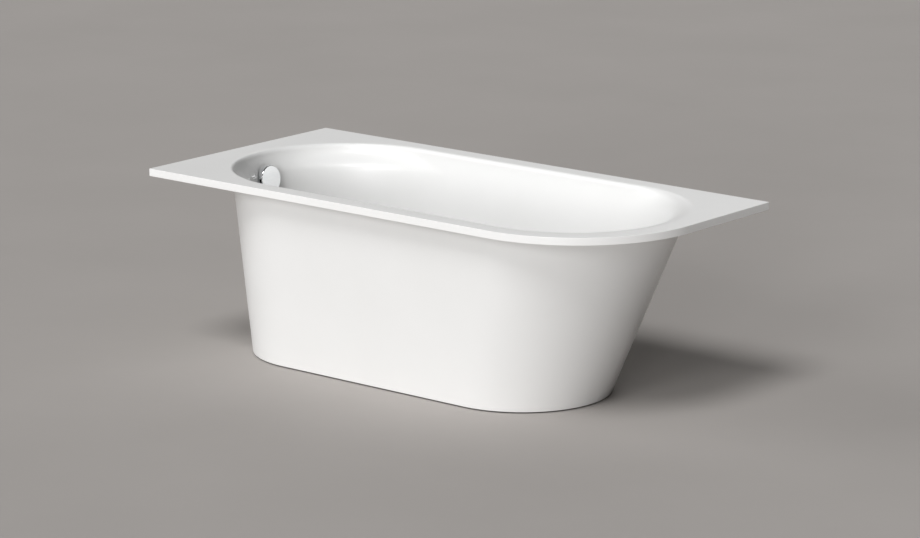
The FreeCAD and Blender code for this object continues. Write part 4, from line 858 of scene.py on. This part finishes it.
AT_WASTE = Matrix.Translation((WASTE_X, 0, 0))
FLANGE_TOP = 147.5
FLANGE_RADIUS = 35
FLANGE_LOW = 118
FLANGE_TUBE_RADIUS = 24
FLANGE_TUBE_WALL = 2.5
SPIDER_WIDTH = 18
SPIDER_HEIGHT = 5
SPIDER_BORE = 6.2
FLANGE_TUBE_ROUND = 0.5
FLANGE_EDGE_ROUND = 1.6
FLANGE_MOUTH_ROUND = 1.4
PLUG_LOW = 148.2
PLUG_SHOULDER = 151.2
PLUG_TOP = 157.2
PLUG_RADIUS = 28
PLUG_CHAMFER = 1
PLUG_STEPS = 24

flange_bm = bmesh.new()
lathe(flange_bm, rounded([
    (FLANGE_TUBE_RADIUS - FLANGE_TUBE_WALL, FLANGE_LOW, FLANGE_TUBE_ROUND),
    (FLANGE_TUBE_RADIUS, FLANGE_LOW, FLANGE_TUBE_ROUND),
    (FLANGE_TUBE_RADIUS, FLOOR_TOP, 0),
    (FLANGE_RADIUS, FLOOR_TOP, 0),
    (FLANGE_RADIUS, FLANGE_TOP, FLANGE_EDGE_ROUND),
    (FLANGE_TUBE_RADIUS - FLANGE_TUBE_WALL, FLANGE_TOP, FLANGE_MOUTH_ROUND),
]), AT_WASTE)
arm_end = FLANGE_TUBE_RADIUS - FLANGE_TUBE_WALL / 2
arm_size = (arm_end - SPIDER_BORE, SPIDER_WIDTH, SPIDER_HEIGHT)
for side in (-1, 1):
    arm_middle = (side * (arm_end + SPIDER_BORE) / 2, 0, FLANGE_LOW + SPIDER_HEIGHT / 2)
    add_block(flange_bm, arm_size, arm_middle, AT_WASTE)
finish_mesh("waste_flange_ring", flange_bm, "tub", ["waste_flange"], "chrome")

plug_profile = [
    Vector((0, PLUG_LOW)),
    Vector((PLUG_RADIUS - PLUG_CHAMFER, PLUG_LOW)),
    Vector((PLUG_RADIUS, PLUG_LOW + PLUG_CHAMFER)),
]
for step in range(PLUG_STEPS + 1):
    share = 1 - step / PLUG_STEPS
    lift = (PLUG_TOP - PLUG_SHOULDER) * (1 - share ** 2)
    plug_profile.append(Vector((PLUG_RADIUS * share, PLUG_SHOULDER + lift)))
plug_bm = bmesh.new()
lathe(plug_bm, plug_profile, AT_WASTE)
finish_mesh("pop_up_plug_cap", plug_bm, "plug", ["plug_cap"], "chrome")


# Levelling legs: threaded stems, lock nuts and foot pads

LEG_X = {"left": -327.5, "right": 226}
LEG_Y = {"front": -190, "rear": 190}
STEM_LOW = 6
STEM_TOP = 117
STEM_RADIUS = 6
THREAD_DEPTH = 0.8
THREAD_PITCH = 2
THREAD_LOW = 24
THREAD_ROWS = 8
THREAD_COLUMNS = 32
STEM_CHAMFER = 1
COLLAR_LOW = 14
COLLAR_TOP = 22
HEX_ACROSS = 19
HEX_COLUMNS = 72
HEX_PROFILE_POINTS = 6
HEX_CHAMFER_SHARE = 0.95
HEX_CHAMFER_SLOPE = math.tan(math.radians(30))
NUT_LOW = 69
NUT_TOP = 79
NUT_BORE = 6.1
PAD_RADIUS = 30
PAD_TOP_RADIUS = 17
PAD_EDGE = 5
PAD_TOP = 14
PAD_SOCKET = 6.08
GROOVE_DEPTH = 1.5
GROOVE_ROUND = 0.3
PAD_LOW_ROUND = 0.8
PAD_EDGE_ROUND = 1.4
PAD_TOP_ROUND = 2
PAD_SOCKET_ROUND = 0.5
PAD_GROOVES = ((10, 14), (18, 22))


def hexagon_radius(angle):
    """Distance from the middle of a hexagon to its side, with corners on the X axis."""
    sixth = math.pi / 3
    return HEX_ACROSS / 2 / math.cos(angle % sixth - sixth / 2)


def add_hexagon(bm, x, y, low, high, bore):
    """A hexagonal ring with its corners turned off at both ends."""
    flat_radius = HEX_ACROSS / 2 * HEX_CHAMFER_SHARE
    rings = [[] for profile_point in range(HEX_PROFILE_POINTS)]
    for index in range(HEX_COLUMNS):
        angle = 2 * math.pi * index / HEX_COLUMNS
        radius = hexagon_radius(angle)
        drop = (radius - flat_radius) * HEX_CHAMFER_SLOPE
        profile = (
            (bore, low), (bore, high), (flat_radius, high), (radius, high - drop),
            (radius, low + drop), (flat_radius, low),
        )
        for ring, (reach, height) in zip(rings, profile):
            ring.append(round_point(x, y, height, reach, angle))
    loops = [add_loop(bm, ring) for ring in rings]
    skin(bm, loops + loops[:1])


def add_threaded_rod(bm, x, y):
    """A rod with a cut thread above the collar and chamfered ends."""
    levels = [
        (STEM_LOW, STEM_RADIUS - STEM_CHAMFER, 0),
        (STEM_LOW + STEM_CHAMFER, STEM_RADIUS, 0),
        (THREAD_LOW, STEM_RADIUS, 0),
    ]
    rows = round((STEM_TOP - STEM_CHAMFER - THREAD_LOW) / THREAD_PITCH * THREAD_ROWS)
    for row in range(1, rows + 1):
        levels.append((THREAD_LOW + row * THREAD_PITCH / THREAD_ROWS, STEM_RADIUS, THREAD_DEPTH))
    levels.append((STEM_TOP, STEM_RADIUS - STEM_CHAMFER, 0))
    loops = []
    for height, radius, depth in levels:
        points = []
        for column in range(THREAD_COLUMNS):
            share = column / THREAD_COLUMNS
            wave = (height / THREAD_PITCH - share) % 1
            reach = radius - depth * abs(2 * wave - 1)
            points.append(round_point(x, y, height, reach, 2 * math.pi * share))
        loops.append(add_loop(bm, points))
    skin(bm, loops)
    bm.faces.new(loops[0])
    bm.faces.new(loops[-1])


def pad_corners():
    """The foot pad's profile, with two grooves turned in its underside."""
    corners = [(0, 0, 0)]
    for start, end in PAD_GROOVES:
        groove = ((start, 0), (start, GROOVE_DEPTH), (end, GROOVE_DEPTH), (end, 0))
        corners += [(radius, height, GROOVE_ROUND) for radius, height in groove]
    return corners + [
        (PAD_RADIUS, 0, PAD_LOW_ROUND),
        (PAD_RADIUS, PAD_EDGE, PAD_EDGE_ROUND),
        (PAD_TOP_RADIUS, PAD_TOP, PAD_TOP_ROUND),
        (PAD_SOCKET, PAD_TOP, PAD_SOCKET_ROUND),
        (PAD_SOCKET, STEM_LOW, 0),
        (0, STEM_LOW, 0),
    ]


nuts_bm = bmesh.new()
for end, leg_x in LEG_X.items():
    for side, leg_y in LEG_Y.items():
        corner = f"{end}_{side}"
        stem_bm = bmesh.new()
        add_threaded_rod(stem_bm, leg_x, leg_y)
        add_hexagon(stem_bm, leg_x, leg_y, COLLAR_LOW, COLLAR_TOP, STEM_RADIUS - STEM_CHAMFER)
        finish_mesh(f"threaded_stem_{corner}", stem_bm, f"leg_{corner}", [f"leg_stem_{corner}"], "fastener")
        turned(
            f"foot_{corner}", pad_corners(), Matrix.Translation((leg_x, leg_y, 0)),
            f"leg_{corner}", [f"foot_pad_{corner}"], "foot",
        )
        add_hexagon(nuts_bm, leg_x, leg_y, NUT_LOW, NUT_TOP, NUT_BORE)
finish_mesh("leg_lock_nuts", nuts_bm, "tub", ["lock_nuts"], "fastener")


# Screws with a domed head and a cross recess

SCREW_HEAD_RADIUS = 4.5
SCREW_HEAD_HEIGHT = 3
HEAD_FACE_SHARE = 0.7
HEAD_SIDE_SHARE = 0.4
HEAD_DOME_ROUND = 1.6
HEAD_SIDE_ROUND = 0.6
HEAD_SEAT_ROUND = 0.2
SCREW_TIP_ROUND = 0.6
SCREW_POINTS = 32
RECESS_WIDTH = 1.1
RECESS_LENGTH = 5
RECESS_DEPTH = 1.8
RAIL_SCREW_Y = 120
RAIL_SCREW_HEAD = 121
RAIL_SCREW_RADIUS = 2.5
RAIL_SCREW_LENGTH = 15
BRACKET_SCREW_HEAD = 549
BRACKET_SCREW_RADIUS = 2
BRACKET_SCREW_LENGTH = 15
BACK_SCREW_Y = 380
BACK_BRACKETS = (-450, 150)
LEFT_SCREW_X = -830
LEFT_BRACKET_Y = 200
BRACKET_HALF_SPACING = 18


def build_screws(name, node, places, head_top, radius, length):
    """Screws driven upwards, with their heads hanging below a height."""
    head_face = head_top - SCREW_HEAD_HEIGHT
    corners = [
        (0, head_face, 0),
        (SCREW_HEAD_RADIUS * HEAD_FACE_SHARE, head_face, HEAD_DOME_ROUND),
        (SCREW_HEAD_RADIUS, head_top - SCREW_HEAD_HEIGHT * HEAD_SIDE_SHARE, HEAD_SIDE_ROUND),
        (SCREW_HEAD_RADIUS, head_top, HEAD_SEAT_ROUND),
        (radius, head_top, 0),
        (radius, head_top + length, SCREW_TIP_ROUND),
        (0, head_top + length, 0),
    ]
    bm = bmesh.new()
    for x, y in places:
        lathe(bm, rounded(corners), Matrix.Translation((x, y, 0)), count=SCREW_POINTS)
    screws = finish_mesh(name, bm, "tub", [node], "fastener")
    tools = []
    for length_x, length_y in ((RECESS_LENGTH, RECESS_WIDTH), (RECESS_WIDTH, RECESS_LENGTH)):
        tool = bmesh.new()
        for x, y in places:
            add_block(tool, (length_x, length_y, RECESS_DEPTH * 2), (x, y, head_face), Matrix())
        tools.append(tool)
    carve(screws, tools)


build_screws(
    "rail_screw_set", "rail_screws",
    [(x, sign * RAIL_SCREW_Y) for x in LEG_X.values() for sign in (-1, 1)],
    RAIL_SCREW_HEAD, RAIL_SCREW_RADIUS, RAIL_SCREW_LENGTH,
)
back_places = [(x + sign * BRACKET_HALF_SPACING, BACK_SCREW_Y) for x in BACK_BRACKETS for sign in (-1, 1)]
left_places = [(LEFT_SCREW_X, LEFT_BRACKET_Y + sign * BRACKET_HALF_SPACING) for sign in (-1, 1)]
build_screws(
    "bracket_screw_set", "bracket_screws", back_places + left_places,
    BRACKET_SCREW_HEAD, BRACKET_SCREW_RADIUS, BRACKET_SCREW_LENGTH,
)


# Plastic nuts with ribs to grip

RIB_DEPTH = 1.3
RIB_COUNT = 24
RIB_COLUMNS = 8
RIB_END = 2
RIB_SLOPE = 1.2
PIPE_X = -778.63
SPIGOT_LOW = 439.71
INLET_X = -578
INLET_Z = 99
PIPE_NUT = {"bore": 16.2, "inside": 20.4, "outside": 26.4, "low": -4, "step": 0, "high": 14}
TRAP_NUT = {"bore": 42.2, "inside": 42.2, "outside": 48.2, "low": 65.2, "step": 70, "high": 78}
OUTLET_NUT = {"bore": 20.2, "inside": 20.2, "outside": 26.2, "low": 76, "step": 90, "high": 104}
OUTLET_Z = 44


def add_ribbed_nut(bm, nut, matrix):
    """A nut whose outside is ribbed between two plain ends."""
    low = nut["low"]
    high = nut["high"]
    plain = nut["outside"] - RIB_DEPTH
    profile = [
        (nut["bore"], low, 0), (plain, low, 0), (plain, low + RIB_END, 0),
        (plain, low + RIB_END + RIB_SLOPE, RIB_DEPTH), (plain, high - RIB_END - RIB_SLOPE, RIB_DEPTH),
        (plain, high - RIB_END, 0), (plain, high, 0), (nut["inside"], high, 0),
    ]
    if nut["inside"] > nut["bore"]:
        profile += [(nut["inside"], nut["step"], 0), (nut["bore"], nut["step"], 0)]
    count = RIB_COUNT * RIB_COLUMNS
    loops = []
    for reach, height, rib in profile:
        points = []
        for index in range(count):
            angle = 2 * math.pi * index / count
            swell = math.sqrt(max(0, math.sin(angle * RIB_COUNT)))
            points.append(matrix @ Vector(round_point(0, 0, height, reach + rib * swell, angle)))
        loops.append(add_loop(bm, points))
    skin(bm, loops + loops[:1])


TO_X = Matrix.Rotation(QUARTER, 4, "Y")
TO_Y = Matrix.Rotation(-QUARTER, 4, "X")
AT_SPIGOT = Matrix.Translation((PIPE_X, 0, SPIGOT_LOW))
AT_INLET = Matrix.Translation((INLET_X, 0, INLET_Z)) @ TO_X
AT_OUTLET = Matrix.Translation((WASTE_X, 0, OUTLET_Z)) @ TO_Y
for node, nut, nut_places in (
    ("pipe_nuts", PIPE_NUT, (AT_SPIGOT, AT_INLET)),
    ("trap_nut", TRAP_NUT, (AT_WASTE,)),
    ("outlet_nut", OUTLET_NUT, (AT_OUTLET,)),
):
    nut_bm = bmesh.new()
    for nut_place in nut_places:
        add_ribbed_nut(nut_bm, nut, nut_place)
    finish_mesh(f"ribbed_{node}", nut_bm, "tub", [node], "nut_plastic")


# Flat faces keep their own shading next to rounded edges

for piece in PIECES:
    shading = piece.modifiers.new("flat_faces", "WEIGHTED_NORMAL")
    shading.keep_sharp = True


# Stage, light and camera

CAMERA_PLACE = (6.679, -8.101, 2.864)
CAMERA_AZIMUTH = math.radians(39.388)
CAMERA_ELEVATION = math.radians(13.616)
CAMERA_LENS = 143.22
SENSOR_WIDTH = 36
CAMERA_REACH = 200
FLOOR_SIZE = 80

camera_data = bpy.data.cameras.new("camera")
camera_data.lens = CAMERA_LENS
camera_data.sensor_width = SENSOR_WIDTH
camera_data.sensor_fit = "HORIZONTAL"
camera_data.clip_end = CAMERA_REACH
camera = bpy.data.objects.new("camera", camera_data)
scene.collection.objects.link(camera)
back = Vector((
    math.sin(CAMERA_AZIMUTH) * math.cos(CAMERA_ELEVATION),
    -math.cos(CAMERA_AZIMUTH) * math.cos(CAMERA_ELEVATION),
    math.sin(CAMERA_ELEVATION),
))
camera.location = CAMERA_PLACE
camera.rotation_mode = "QUATERNION"
camera.rotation_quaternion = (-back).to_track_quat("-Z", "Y")
scene.camera = camera

bpy.ops.mesh.primitive_plane_add(size=FLOOR_SIZE, location=(0, 0, 0))
ground = bpy.context.object
ground.name = "studio_floor"
floor_finish = Finish("studio_floor_paint", Specular_IOR_Level=0.1)
floor_clouds = floor_finish.noise(scale=1.5)
floor_finish.colour(floor_clouds, (0.3, (0.4, 0.377, 0.36)), (0.7, (0.416, 0.392, 0.375)))
floor_finish.roughness(floor_finish.noise(scale=20), low=0.75, high=0.85)
ground.data.materials.append(floor_finish.material)


def sun(name, azimuth, elevation, strength, spread):
    """A distant soft lamp; its azimuth turns from the front towards the left end."""
    turn = math.radians(azimuth)
    rise = math.radians(elevation)
    towards = Vector((-math.sin(turn) * math.cos(rise), -math.cos(turn) * math.cos(rise), math.sin(rise)))
    data = bpy.data.lights.new(name, "SUN")
    data.energy = strength
    data.angle = math.radians(spread)
    lamp = bpy.data.objects.new(name, data)
    lamp.rotation_mode = "QUATERNION"
    lamp.rotation_quaternion = (-towards).to_track_quat("-Z", "Y")
    scene.collection.objects.link(lamp)


sun("key", azimuth=-8, elevation=24, strength=0.88, spread=20)
sun("low", azimuth=-22, elevation=7.5, strength=1.24, spread=13)
sun("high", azimuth=-12, elevation=58, strength=1.62, spread=20)
sun("side", azimuth=60, elevation=30, strength=0.6, spread=30)
sun("back", azimuth=150, elevation=34, strength=0.45, spread=40)

SURROUNDINGS = (0.37, 0.352, 0.335, 1)
CEILING = (0.02, 0.02, 0.02, 1)
CEILING_START = 0.12
CEILING_END = 0.34
AMBIENT = (0.025, 0.025, 0.025, 1)

world = bpy.data.worlds.new("studio")
world.use_nodes = True
world_nodes = world.node_tree.nodes
world_links = world.node_tree.links
path = world_nodes.new("ShaderNodeLightPath")
seen = path.outputs["Is Camera Ray"]
for kind in ("Is Glossy Ray", "Is Transmission Ray"):
    either = world_nodes.new("ShaderNodeMath")
    either.operation = "MAXIMUM"
    world_links.new(seen, either.inputs[0])
    world_links.new(path.outputs[kind], either.inputs[1])
    seen = either.outputs["Value"]
place = world_nodes.new("ShaderNodeTexCoord")
direction = world_nodes.new("ShaderNodeSeparateXYZ")
world_links.new(place.outputs["Generated"], direction.inputs["Vector"])
height = world_nodes.new("ShaderNodeMapRange")
height.inputs["From Min"].default_value = CEILING_START
height.inputs["From Max"].default_value = CEILING_END
world_links.new(direction.outputs["Z"], height.inputs["Value"])
backdrop = world_nodes.new("ShaderNodeMix")
backdrop.data_type = "RGBA"
backdrop.inputs["A"].default_value = SURROUNDINGS
backdrop.inputs["B"].default_value = CEILING
world_links.new(height.outputs["Result"], backdrop.inputs["Factor"])
pick = world_nodes.new("ShaderNodeMix")
pick.data_type = "RGBA"
pick.inputs["A"].default_value = AMBIENT
world_links.new(backdrop.outputs["Result"], pick.inputs["B"])
world_links.new(seen, pick.inputs["Factor"])
world_links.new(pick.outputs["Result"], world_nodes["Background"].inputs["Color"])
scene.world = world
